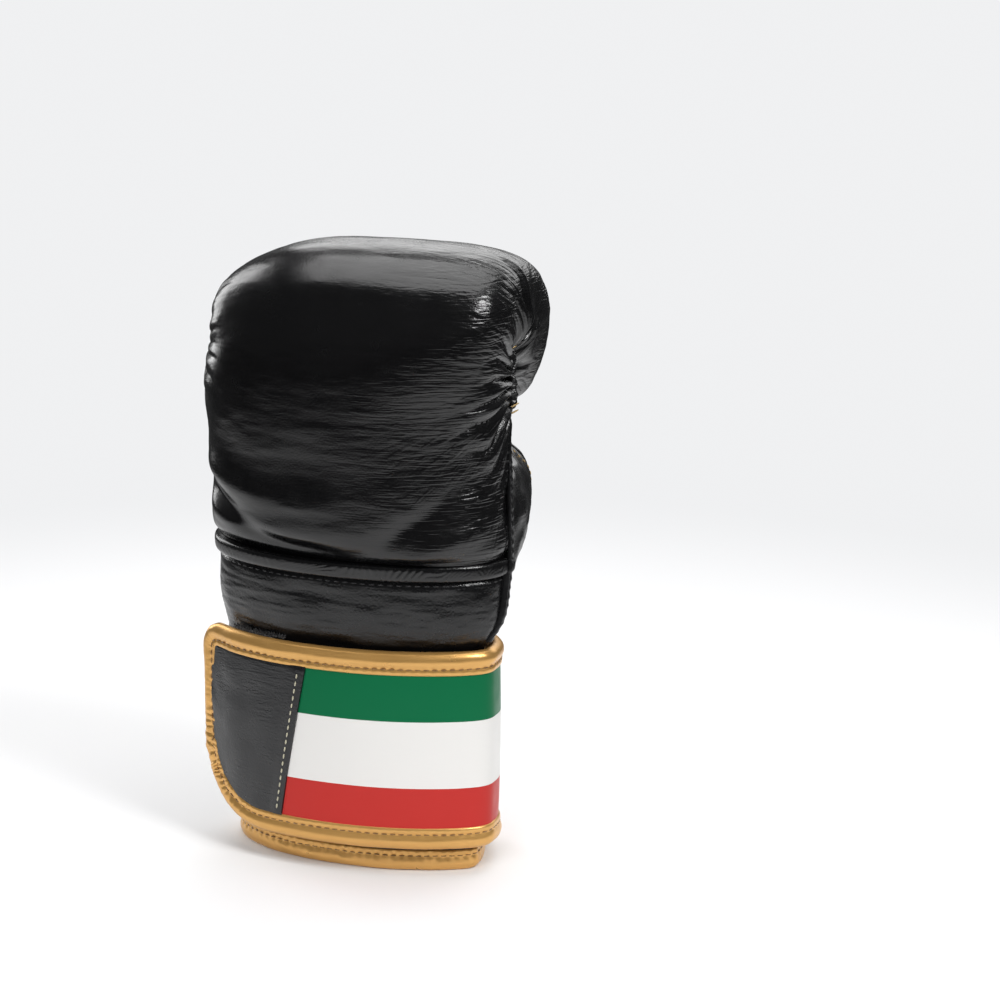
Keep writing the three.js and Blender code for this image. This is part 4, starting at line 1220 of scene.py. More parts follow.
    def base(self, share: Array, along: Array) -> Array:
        """The pad's outside without pleats or folds."""
        form = self.form
        row = along * LAST_ROW
        end = form.palm_surface(np.array([0.0]), np.array([form.roll_end]), 0.0)[0]
        line = self.middle_line(1, 2, form.back_depth, form.roll_depth, end)
        flat = self.along_line(line, along)
        lean = form.section(np.minimum(flat[:, 1], form.gather_height)).lean
        crown = stack(lean, flat[:, 0], flat[:, 1])
        keys = np.arange(LAST_ROW + 1.0)
        overhang = np.append(PAD_ROWS[:, 5], 0.0)
        bulge = np.maximum(table_value(keys, overhang, row), 0.0)
        points = self.arch(self.edge(Side.THUMB, row), crown, self.edge(Side.PINKY, row), share, bulge)
        points = self.settle(points, row, 0.0)
        foot = along <= 1e-9
        points[foot, 2] = form.band_top(points[foot, 0])
        return points

    def lining(self, share: Array, along: Array) -> Array:
        """The inside of the pad, round the hand."""
        form = self.form
        row = along * LAST_ROW
        end = form.palm_surface(np.array([0.0]), np.array([form.roll_end]), 0.0)[0] - form.palm_wall
        line = self.middle_line(3, 4, self.pocket_depth, end, end)
        flat = self.along_line(line, along)
        lean = form.section(np.minimum(flat[:, 1], form.gather_height)).lean
        crown = stack(lean, flat[:, 0], flat[:, 1])
        edges = {}
        for side in Side:
            edge = self.edge(side, row)
            by_vent = (row > GATHER_END_ROW) & (side is Side.THUMB)
            edge[:, 0] -= side.value * self.edge_wall * np.where(by_vent, self.corner_wall, 1.0)
            sink = self.edge_wall * self.corner_depth * smooth_step(row - GATHER_END_ROW)
            edge[:, 1] -= np.where(by_vent, sink, 0.0)
            edges[side] = edge
        points = self.arch(edges[Side.THUMB], crown, edges[Side.PINKY], share, 0.0 * share)
        last = along >= 1.0 - 1e-9
        points[last] = self.settle(points, row, -form.palm_wall)[last]
        foot = along <= 1e-9
        points[foot, 2] = form.band_top(points[foot, 0])
        return points

    def column_runs(self, flat: Array) -> Array:
        """Distance of each grid point from the thumb-side edge, along its row."""
        steps = np.linalg.norm(np.diff(flat, axis=1), axis=2)
        return np.pad(np.cumsum(steps, axis=1), ((0, 0), (1, 0)))

    def fan(self, flat: Array, side: Side) -> tuple[Array, Array]:
        """Where each point lies in the fan of pleats round a side's gathered seam.

        The gathered seam is a short line. The fan's rays leave it squarely and spread out.

        Args:
            flat: the pad's base surface on its grid.
            side: the side of the hand.

        Returns:
            The ray's angle, positive on the back of the hand, and the distance from the line.
        """
        form = self.form
        run = self.column_runs(flat)
        if side is Side.PINKY:
            run = run[:, -1:] - run
        half = (self.thumb_line if side is Side.THUMB else self.pinky_line) / 2.0
        row = np.linspace(0.0, LAST_ROW, self.rows + 1)[:, None]
        turn = np.clip((GATHER_END_ROW - row) / (GATHER_END_ROW - GATHER_START_ROW), 0.0, 1.0) * math.pi
        below = (form.gather_height - form.band_top_middle) * np.clip(1.0 - row / GATHER_START_ROW, 0.0, 1.0)
        beyond = form.vent_height * np.clip((row - GATHER_END_ROW) / (LAST_ROW - GATHER_END_ROW), 0.0, 1.0)
        up = run * np.sin(turn) - below - beyond + half
        middle_row = (GATHER_START_ROW + GATHER_END_ROW) / 2.0
        across = -run * np.cos(turn) + np.where(row < middle_row, 1e-6, -1e-6)
        angle = np.arccosh((up + 1j * across) / half).imag
        away = np.hypot(across, np.maximum(np.abs(up) - half, 0.0))
        return angle, away

    def pleats(self, angle: Array, away: Array, side: Side) -> Array:
        """Height of the pleats round one gathered seam: wide ones, and finer ones on them."""
        seed = 5.0 + side.value
        count = np.where(angle < 0.0, self.roll_pleats, self.back_pleats)
        place = stack(angle * 1.5, away / 22.0, seed).reshape(-1, 3)
        wander = 0.5 * self.noise.layered(place, 2).reshape(angle.shape)
        phase = count * angle / math.pi + wander
        lots = stack(phase * 0.85, 0.0 * phase, seed + 9.0).reshape(-1, 3)
        size = self.noise.at(lots).reshape(angle.shape)
        lots[:, 1] += 4.0
        draw = self.noise.at(lots).reshape(angle.shape)
        reach = np.where(angle < 0.0, 20.0 + 4.0 * draw, 38.0 + 10.0 * draw)
        wide = np.abs(np.sin(math.pi * phase)) ** 0.75
        wide = wide * smooth_step(away / 3.0) * np.clip(1.0 - away / reach, 0.0, 1.0)
        narrow = np.abs(np.sin(math.pi * (2.35 * phase + 0.2))) ** 0.8
        narrow = narrow * smooth_step(away / 2.0) * np.clip(1.0 - away / 34.0, 0.0, 1.0) ** 1.5
        fine = np.abs(np.sin(math.pi * (3.7 * phase + 0.6)))
        fine = fine * smooth_step((away - 9.0) / 8.0) * np.clip(1.0 - away / 62.0, 0.0, 1.0) ** 1.5
        large = (4.6 + 1.4 * size) * wide + (0.8 + 0.4 * size) * narrow
        return large + 0.5 * fine - 2.0 * hump(away, 0.0, 3.5)

    def soft_folds(self, points: Array) -> Array:
        """The broad folds that sweep down across the back, just above the welt."""
        x, y, z = points.T
        on_back = smooth_step(-y / 20.0)
        total = np.zeros(len(x))
        for across, up, slant, curve, width, length, height in SOFT_FOLDS:
            side = x - across
            away = (z - up) - slant * side - curve * side * side
            total += height * hump(away, 0.0, width) * hump(side, 0.0, length)
        return total * on_back

    def seam_dimples(self, run: Array, z: Array) -> Array:
        """The pulled line of stitch holes beside the thumb-side seam."""
        holes = 0.6 + 0.4 * np.cos(TURN * z / 3.6)
        return -0.55 * holes * hump(run, 3.4, 0.9)

    def build_grid(self) -> dict[str, Array]:
        """The pad's outside with all its relief, and its place in the thumb side's fan."""
        shares = self.spread_shares(np.linspace(0.0, 1.0, self.columns + 1))
        share, along = np.meshgrid(shares, np.linspace(0.0, 1.0, self.rows + 1))
        flat = self.base(share.ravel(), along.ravel()).reshape(*share.shape, 3)
        across, up = np.gradient(flat, axis=1), np.gradient(flat, axis=0)
        normal = unit(np.cross(up, across))
        relief = np.zeros(share.shape)
        angle, away = self.fan(flat, Side.THUMB)
        relief += self.pleats(angle, away, Side.THUMB)
        pinky_angle, pinky_away = self.fan(flat, Side.PINKY)
        relief += 0.35 * self.pleats(pinky_angle, pinky_away, Side.PINKY)
        relief *= smooth_step((1.0 - along) / 0.06)
        points = flat.reshape(-1, 3)
        soft = 0.6 * self.noise.layered(points / 36.0 + 3.0, 2).reshape(share.shape)
        stretched = points * np.array([0.05, 0.12, 0.22])
        creased = 0.14 * self.noise.layered(stretched, 3).reshape(share.shape)
        folds = self.soft_folds(points).reshape(share.shape)
        folds = folds * (0.25 + 0.75 * smooth_step((1.0 - share) / 0.3))
        relief += (soft + creased + folds) * fade(share, 0.05, 0.16) * fade(along, 0.015, 0.03)
        below = along * LAST_ROW < GATHER_START_ROW - 1.6
        relief += np.where(below, self.seam_dimples(self.column_runs(flat), flat[:, :, 2]), 0.0)
        hang = along * LAST_ROW / 0.42
        relief += 1.2 * np.exp(-((hang - 1.0) ** 2) * 1.2) - 1.5 * hump(hang, 0.0, 0.35)
        return {"points": flat + normal * relief[:, :, None], "angle": angle, "away": away}

    def spread_shares(self, u: Array) -> Array:
        """Closer columns towards the thumb side, where the pleats are."""
        return u * (0.6 + 0.4 * u)

    def pick(self, values: Array, u: Array, v: Array) -> Array:
        """Values of the grid at its shares."""
        across = np.rint(u * self.columns).astype(int)
        return values[np.rint(v * self.rows).astype(int), across]

    def build(self) -> None:
        """Makes the pad as one closed, padded piece."""
        grid = self.build_grid()

        def outside(u: Array, v: Array) -> Array:
            """The grid's points at its shares."""
            return self.pick(grid["points"], u, v)

        def inside(u: Array, v: Array) -> Array:
            """The lining at the grid's shares."""
            return self.lining(self.spread_shares(u), v)

        shape = self.workshop.slab(self.columns, self.rows, outside, inside)
        loops = shape.loops.layers.uv.active
        places = np.zeros((len(shape.verts), 2))
        for vertex in shape.verts:
            if vertex.link_loops:
                places[vertex.index] = vertex.link_loops[0][loops].uv
        u, v = np.clip(places.T, 0.0, 1.0)
        away = self.pick(grid["away"], u, v)
        pad = self.workshop.finish(shape, "fist_pad_leather", self.finishes.black, Slot.BLACK, ["fist_pad"])
        reach = smooth_step(away / 6.0) * (1.0 - smooth_step((away - 20.0) / 80.0))
        self.workshop.set_attribute(pad, "fan_angle", self.pick(grid["angle"], u, v))
        self.workshop.set_attribute(pad, "fan_away", away)
        self.workshop.set_attribute(pad, "gather", reach)


@dataclass
class WristBand:
    """The padded band over the wrist, the welt along its top and the cuff's back."""

    form: GloveForm
    workshop: Workshop
    finishes: Finishes
    bulge: float = 1.6
    sink: float = 0.5
    padding: float = 9.0
    welt_proud: float = 1.6
    welt_sink: float = 0.35
    welt_thickness: float = 7.0
    band_grid: tuple[int, int] = (230, 50)
    welt_grid: tuple[int, int] = (420, 18)
    cuff_grid: tuple[int, int] = (120, 30)
    noise: Noise = field(default_factory=lambda: Noise(23))

    def back_sheet(self, low: Profile, high: Profile, proud: Surface, inset: float) -> Surface:
        """A sheet over the back of the hand, seam to seam.

        Args:
            low: height of the lower edge at a place across.
            high: height of the upper edge.
            proud: how far the sheet stands out.
            inset: how far it lies in.

        Returns:
            The sheet as a function of its shares across and up.
        """
        form = self.form

        def place(u: Array, v: Array) -> Array:
            """Points of the sheet."""
            angle = u * math.pi
            offset = proud(u, v) - inset
            rough_z = mix(low(0.0 * u), high(0.0 * u), v)
            x = form.body_point(rough_z, angle, offset)[:, 0]
            points = form.body_point(mix(low(x), high(x), v), angle, offset)
            points[:, 1] -= form.seam_gap / 2.0
            return points

        return place

    def band_relief(self, u: Array, v: Array) -> Array:
        """Bulge of the band with soft dents and tucked edges."""
        points = stack(u * 9.0, v * 2.5, 1.0)
        soft = 0.5 * self.noise.layered(points, 2) * fade(v, 0.1, 0.1)
        wrinkle = 0.16 * self.noise.layered(stack(u * 16.0, v * 26.0, 6.0), 2) * fade(v, 0.08, 0.1)
        crown = self.bulge * np.maximum(np.sin(math.pi * v) - self.sink, np.where(v < 0.5, -0.1, -0.5))
        return crown + soft + wrinkle - 1.3 * (1.0 - smooth_step((1.0 - v) / 0.07))

    def welt_relief(self, u: Array, v: Array) -> Array:
        """Round roll of the welt with slanting wrinkles, strongest beside the middle."""
        round_top = np.clip(1.0 - np.abs(2.0 * v - 1.0) ** 3.6, 0.0, 1.0) ** 0.5
        slant = u * 58.0 + v * 1.6 + 2.4 * self.noise.at(stack(u * 19.0, v * 0.8, 2.0))
        patch = 0.16 + 0.84 * hump(u, 0.42, 0.1)
        patch = patch * (0.7 + 0.5 * self.noise.at(stack(u * 33.0, v * 1.4, 9.0)))
        wrinkle = 0.62 * (np.abs(np.sin(math.pi * slant)) - 0.5) * patch * round_top
        drift = 0.3 * self.noise.at(stack(u * 11.0, 0.0 * v, 5.0))
        return self.welt_proud * (1.1 * round_top - self.welt_sink) + wrinkle + drift * round_top

    def cuff_relief(self, u: Array, v: Array) -> Array:
        """Faint dents of the cuff's back."""
        return 0.25 * self.noise.at(stack(u * 9.0, v * 5.0, 8.0))

    def build(self) -> None:
        """Makes the band, the welt and the cuff's back."""
        form, gap = self.form, self.form.seam_gap
        finishes, flat = self.finishes, steady(0.0)

        def band_top(x: Array) -> Array:
            """Height where the band meets the welt."""
            return form.band_top(x) - form.welt_height - gap / 2.0

        def welt_foot(x: Array) -> Array:
            """Height of the welt's lower edge."""
            return form.band_top(x) - form.welt_height

        def welt_top(x: Array) -> Array:
            """Height of the welt's upper edge."""
            return form.band_top(x) - gap / 2.0

        low = steady(form.cuff_height + gap)
        outer = self.back_sheet(low, band_top, self.band_relief, 0.0)
        inner = self.back_sheet(low, band_top, flat, self.padding)
        band = self.workshop.add_slab(
            self.band_grid, outer, inner, "wrist_band_leather", finishes.band, Slot.BLACK, "wrist_band"
        )
        rows = Stitching(self.workshop, "band_stitches", length=2.3, gap=1.3, thread=0.5, lift=0.1)
        rows.row_out(line_on(outer, (0.01, 0.99), (0.955, 0.955)))
        rows.sew(finishes.black_thread, Slot.BLACK)
        outer = self.back_sheet(welt_foot, welt_top, self.welt_relief, 0.0)
        inner = self.back_sheet(welt_foot, welt_top, flat, self.welt_thickness)
        self.workshop.add_slab(
            self.welt_grid, outer, inner, "band_welt_leather", finishes.black, Slot.BLACK, "band_welt"
        )
        foot, top = steady(form.binding_height - BINDING_LAP), steady(form.cuff_height)
        outer = self.back_sheet(foot, top, self.cuff_relief, 0.0)
        inner = self.back_sheet(foot, top, flat, form.cuff_wall)
        self.workshop.add_slab(
            self.cuff_grid, outer, inner, "cuff_back_leather", finishes.palm, Slot.PALM, "cuff_back"
        )


@dataclass
class Strap:
    """The wrist strap: core, three stripes, end panel and gold binding."""

    form: GloveForm
    workshop: Workshop
    finishes: Finishes
    height: float = 88.0
    rise: float = 11.0
    top_rise: float = 7.0
    flap_rise: float = 0.5
    root_length: float = 70.0
    standoff: float = 3.2
    face_gap: float = 0.4
    core: float = 2.2
    face: float = 1.0
    start_angle: float = -1.885
    wrap_angle: float = 2.45
    end_length: float = 16.0
    top_radius: float = 11.0
    bottom_radius: float = 36.0
    end_panel: float = 40.0
    seam_slant: float = 11.0
    top_share: float = 0.31
    bottom_share: float = 0.28
    binding_width: float = 9.0
    wrap_steps: int = 400
    noise: Noise = field(default_factory=lambda: Noise(37))

    def __post_init__(self) -> None:
        """Measures the run along the cuff."""
        angles = np.linspace(self.start_angle, self.wrap_angle, self.wrap_steps + 1)
        points = self.form.body_point(self.form.cuff_height + 0.0 * angles, angles, 0.0)
        runs = run_lengths(points)
        runs = runs - runs[np.argmax(angles >= 0.0)]
        self.angles, self.runs = angles, runs
        self.heading = unit(points[-1] - points[-3])
        self.wrap_end = float(runs[-1])
        self.end = self.wrap_end + self.end_length
        self.root = -self.root_length

    def point(self, run: Array, z: Array, offset: Array) -> Array:
        """Points on the strap at a run along the cuff, a height and an offset from its back."""
        inside = np.minimum(run, self.wrap_end)
        angle = np.interp(inside, self.runs, self.angles)
        points = self.form.body_point(self.form.cuff_height + 0.0 * angle, angle, self.standoff + offset)
        points[:, 2] = z
        return points + (run - inside)[:, None] * self.heading

    def low(self, run: Array) -> Array:
        """Height of the lower edge."""
        before = self.rise * (1.0 - run / self.root)
        return np.where(run < 0, before, self.rise + self.flap_rise * run / self.end)

    def high(self, run: Array) -> Array:
        """Height of the upper edge."""
        before = self.height + self.top_rise * (1.0 - run / self.root)
        after = self.height + self.top_rise + self.flap_rise * run / self.end
        return np.where(run < 0, before, after)

    def span(self, run: Array, inset: float) -> tuple[Array, Array]:
        """Lower and upper edge at a run, taken in all round by an inset."""

        def corner(radius: float) -> Array:
            """How far a rounded corner takes the edge in."""
            past = run - (self.end - radius)
            inner = radius - inset
            turned = radius - np.sqrt(np.maximum(inner * inner - past * past, 0.0))
            return np.where(past <= 0, inset, turned)

        return self.low(run) + corner(self.bottom_radius), self.high(run) - corner(self.top_radius)

    def seam(self, share: Array) -> Array:
        """Run of the seam between the stripes and the end panel."""
        return self.end - self.binding_width - self.end_panel + self.seam_slant * (0.5 - share)

    def layer(
        self, start: Profile, stop: Profile, low: float, high: float, offset: Callable[..., Array]
    ) -> Surface:
        """A sheet of the strap inside its binding.

        Args:
            start: run where it starts, at a share of the height.
            stop: run where it ends.
            low: share of the height at its lower edge.
            high: share at its upper edge.
            offset: distance from the strap's back, at its own two shares and that of the height.

        Returns:
            The sheet as a function of its shares along and up.
        """
        inset = self.binding_width - BINDING_LAP

        def place(u: Array, v: Array) -> Array:
            """Points of the sheet."""
            share = mix(low, high, v)
            run = mix(start(share), stop(share), u)
            bottom, top = self.span(run, inset)
            return self.point(run, mix(bottom, top, share), offset(u, v, share))

        return place

    def face_relief(self, u: Array, share: Array) -> Array:
        """Soft crown of the strap's face."""
        crown = 0.5 * np.sin(math.pi * share)
        return crown + 0.12 * self.noise.at(stack(u * 7.0, share * 3.0, 2.0))

    def build_faces(self) -> None:
        """Makes the core, the stripes and the end panel."""
        finishes, near = self.finishes, self.core + self.face_gap
        panel_end = self.end - self.binding_width
        from_root = steady(self.root)
        core = (from_root, steady(panel_end + 1.0), 0.0, 1.0)
        outer = self.layer(*core, steady(self.core))
        self.workshop.add_slab(
            (150, 12), outer, self.layer(*core, steady(0.0)),
            "strap_core_leather", finishes.palm, Slot.PALM, "strap_core",
        )
        stripes = (
            ("stripe_bottom", 0.0, self.bottom_share, finishes.red, Slot.RED),
            ("stripe_middle", self.bottom_share, 1.0 - self.top_share, finishes.white, Slot.WHITE),
            ("stripe_top", 1.0 - self.top_share, 1.0, finishes.green, Slot.GREEN),
        )

        def outside(u: Array, v: Array, share: Array) -> Array:
            """The stripes' outside."""
            return near + self.face + self.face_relief(u, share)

        def inside(u: Array, v: Array, share: Array) -> Array:
            """The stripes' inside."""
            return near + self.face_relief(u, share)

        def under_panel(share: Array) -> Array:
            """Run where the stripes end, a little under the end panel."""
            return self.seam(share) + BINDING_LAP

        for node, low, high, material, slot in stripes:
            stripe = (from_root, under_panel, low, high)
            outer, inner = self.layer(*stripe, outside), self.layer(*stripe, inside)
            self.workshop.add_slab((220, 14), outer, inner, f"{node}_leather", material, slot, node)

        def raised(u: Array, v: Array, share: Array) -> Array:
            """The end panel's outside, lapped over the stripes and slack past them."""
            lap = 0.8 - 0.55 * smooth_step((u - 0.05) / 0.12)
            slack = 0.3 * self.noise.layered(stack(u * 2.5, v * 4.0, 7.0), 2) * smooth_step(u / 0.2)
            return outside(u, v, share) + 0.12 + (lap + slack) * fade(v, 0.05, 0.05)

        def lowered(u: Array, v: Array, share: Array) -> Array:
            """The end panel's inside."""
            return outside(u, v, share) + 0.05

        panel = (self.seam, steady(panel_end + BINDING_LAP), 0.0, 1.0)
        outer, inner = self.layer(*panel, raised), self.layer(*panel, lowered)
        self.workshop.add_slab(
            (70, 110), outer, inner, "end_panel_leather", finishes.grey, Slot.GREY, "strap_end_panel"
        )
        rows = Stitching(self.workshop, "end_panel_stitches", length=2.1, gap=1.0, thread=0.7, lift=0.2)
        rows.row_out(line_on(outer, (0.055, 0.055), (0.06, 0.94)))
        rows.sew(finishes.pale_thread, Slot.WHITE)

    def outline(self, inset: float, share: Array) -> Array:
        """Edge of the strap from its root along the bottom, round the end and back along the top.

        Args:
            inset: distance in from the edge.
            share: places along the edge.

        Returns:
            Rows of run and height.
        """
        low_turn = self.end - self.bottom_radius
        high_turn = self.end - self.top_radius
        legs = []
        run = np.linspace(self.root, low_turn, 90)[:-1]
        legs.append(np.stack([run, self.low(run) + inset], axis=1))
        turn = np.linspace(-math.pi / 2.0, 0.0, 40)
        radius = self.bottom_radius - inset
        foot = float(self.low(np.array([low_turn]))[0]) + self.bottom_radius
        legs.append(np.stack([low_turn + radius * np.cos(turn), foot + radius * np.sin(turn)], axis=1))
        turn = np.linspace(0.0, math.pi / 2.0, 24)
        radius = max(self.top_radius - inset, 0.05)
        head = float(self.high(np.array([high_turn]))[0]) - self.top_radius
        legs.append(np.stack([high_turn + radius * np.cos(turn), head + radius * np.sin(turn)], axis=1))
        run = np.linspace(high_turn, self.root, 90)[1:]
        legs.append(np.stack([run, self.high(run) - inset], axis=1))
        line = np.concatenate(legs)
        return line_values(np.linspace(0.0, 1.0, len(line)), line, share)

    def build_binding(self) -> None:
        """Makes the gold binding with its puckers, and its stitches."""
        shares = np.linspace(0.0, 1.0, 2000)
        lengths = run_lengths(self.outline(0.0, shares))

        def place(u: Array, v: Array) -> Array:
            """Points round the binding's section and along the strap's edge."""
            run = v * lengths[-1]
            share = np.interp(run, lengths, shares)
            edge = self.outline(0.0, share)
            across, out = line_values(STRAP_BINDING_PROFILE[:, 0], STRAP_BINDING_PROFILE[:, 1:], u).T
            at = mix(edge, self.outline(self.binding_width, share), across[:, None])
            crumple = self.crumple(edge[:, 0], edge[:, 1])
            top = smooth_step((out - 1.5) / 2.0)
            pucker = np.sin(TURN * run / 3.5) * hump(across, 0.79, 0.12)
            puffs = self.noise.layered(stack(run / 11.0, across * 2.0, 3.0), 2)
            tight = self.noise.layered(stack(run / 2.6, across * 2.2, 11.0), 2)
            pace = run / 3.3 + 1.7 * self.noise.at(stack(run / 8.0, across * 0.7, 5.0))
            gathers = np.abs(np.sin(math.pi * pace)) ** 0.8 - 0.5
            gathers = gathers * (0.75 + 0.6 * tight) * hump(across, 0.66, 0.32)
            out = out + top * (0.13 * pucker + puffs * (0.16 + 0.2 * crumple))
            out = out + top * (0.03 * tight + crumple * (0.3 * tight + gathers))
            return self.point(at[:, 0], at[:, 1], out)

        shape = self.workshop.tube(26, 1100, place)
        self.workshop.finish(
            shape, "strap_binding_leather", self.finishes.gold, Slot.GOLD, ["strap_binding"]
        )
        rows = Stitching(
            self.workshop, "strap_binding_stitches", length=2.4, gap=1.1, thread=0.62, lift=0.16
        )
        middle = np.array([self.form.cuff_lean, 0.0, 0.0])
        rows.row_out(line_on(place, (0.705, 0.705), (0.004, 0.996)), middle)
        rows.sew(self.finishes.brown_thread, Slot.GOLD)

    def crumple(self, run: Array, z: Array) -> Array:
        """How strongly the binding is crumpled: most at the free end's lower corner."""
        end = smooth_step((run - (self.end - 34.0)) / 12.0)
        return end * (0.12 + 0.88 * hump(z, 36.0, 17.0))

    def build(self) -> None:
        """Makes the whole strap."""
        self.build_faces()
        self.build_binding()


@dataclass
class CuffBinding:
    """The gold binding round the foot of the cuff and the fastener patch above it."""

    form: GloveForm
    workshop: Workshop
    finishes: Finishes
    strap: Strap
    proud: float = 1.6
    slit_across: float = 6.0
    slit_width: float = 7.0
    patch_width: float = 66.0
    patch_height: float = 82.0
    patch_thickness: float = 1.1
    patch_above: float = 0.2
    tufts: int = 320
    noise: Noise = field(default_factory=lambda: Noise(41))

    def palm_angle(self, x: float) -> float:
        """Angle where the foot of the palm side is at a place across."""
        body = self.form.section(np.array([0.0]))
        share = float((x - body.lean[0]) / body.half[0])
        return 2.0 * math.pi - math.acos(float(signed_power(share, self.form.squareness / 2.0)))

    def build(self) -> None:
        """Makes the binding, its stitches and the loop patch."""
        form = self.form
        start = self.palm_angle(self.slit_across + self.slit_width / 2.0) - 2.0 * math.pi
        stop = self.palm_angle(self.slit_across - self.slit_width / 2.0)
        around = np.linspace(start, stop, 900)
        lengths = run_lengths(form.body_point(0.0 * around, around, 0.0))

        def place(u: Array, v: Array) -> Array:
            """Points round the binding's section and along the cuff's foot."""
            run = v * lengths[-1]
            angle = np.interp(run, lengths, around)
            z, out = line_values(CUFF_BINDING_PROFILE[:, 0], CUFF_BINDING_PROFILE[:, 1:], u).T
            top = smooth_step((out + 0.5) / 1.2)
            pucker = np.sin(TURN * run / 3.6) * hump(z, 6.7, 1.4)
            puffs = self.noise.layered(stack(run / 9.0, z / 4.0, 2.0), 3)
            out = out + top * (0.2 * pucker + 0.28 * puffs) - 0.25 * top
            return form.body_point(z, angle, out)

        shape = self.workshop.tube(24, 1000, place)
        self.workshop.finish(shape, "cuff_binding_leather", self.finishes.gold, Slot.GOLD, ["cuff_binding"])
        rows = Stitching(
            self.workshop, "cuff_binding_stitches", length=2.4, gap=1.1, thread=0.62, lift=0.16
        )
        middle = np.array([form.cuff_lean, 0.0, 0.0])
        rows.row_out(line_on(place, (0.68, 0.68), (0.004, 0.996)), middle)
        rows.sew(self.finishes.brown_thread, Slot.GOLD)
        self.build_patch()

    def build_patch(self) -> None:
        """Makes the loop patch between the cuff and the strap, with its fuzzy top."""
        strap = self.strap
        stop = strap.wrap_end
        start = stop - self.patch_width
        near = -self.form.seam_gap

        def sheet(offset: float) -> Surface:
            """The patch at an offset from the strap's back."""

            def place(u: Array, v: Array) -> Array:
                """Points of the patch."""
                run = mix(start, stop, u)
                high = strap.high(run) + self.patch_above - 3.0 * (1.0 - smooth_step((u - 0.5) / 0.3))
                fuzz = 0.25 * self.noise.layered(stack(u * 60.0, v * 70.0, 4.0), 2)
                return strap.point(run, mix(high - self.patch_height, high, v), offset + fuzz)

            return place

        inner = sheet(near - self.patch_thickness)
        self.workshop.add_slab(
            (100, 90), sheet(near), inner, "loop_patch", self.finishes.pile, Slot.PILE, "fastener_patch"
        )
        random = np.random.default_rng(5)
        tufts = Stitching(self.workshop, "loop_patch_fuzz", thread=0.22, lift=0.0)
        for share in random.uniform(0.6, 1.0, self.tufts):
            run = np.array([mix(start, stop, share)])
            high = strap.high(run) + self.patch_above
            base = strap.point(run, high - 0.5, np.array([near - random.uniform(0.0, 1.2)]))[0]
            lean = random.uniform(-1.0, 1.0, 3) * np.array([0.6, 0.6, 0.3])
            tip = base + np.array([0.0, 0.0, random.uniform(0.9, 2.2)]) + lean
            tufts.add(base, tip, np.array([0.3, -1.0, 0.1]))
        tufts.sew(self.finishes.pile, Slot.PILE)


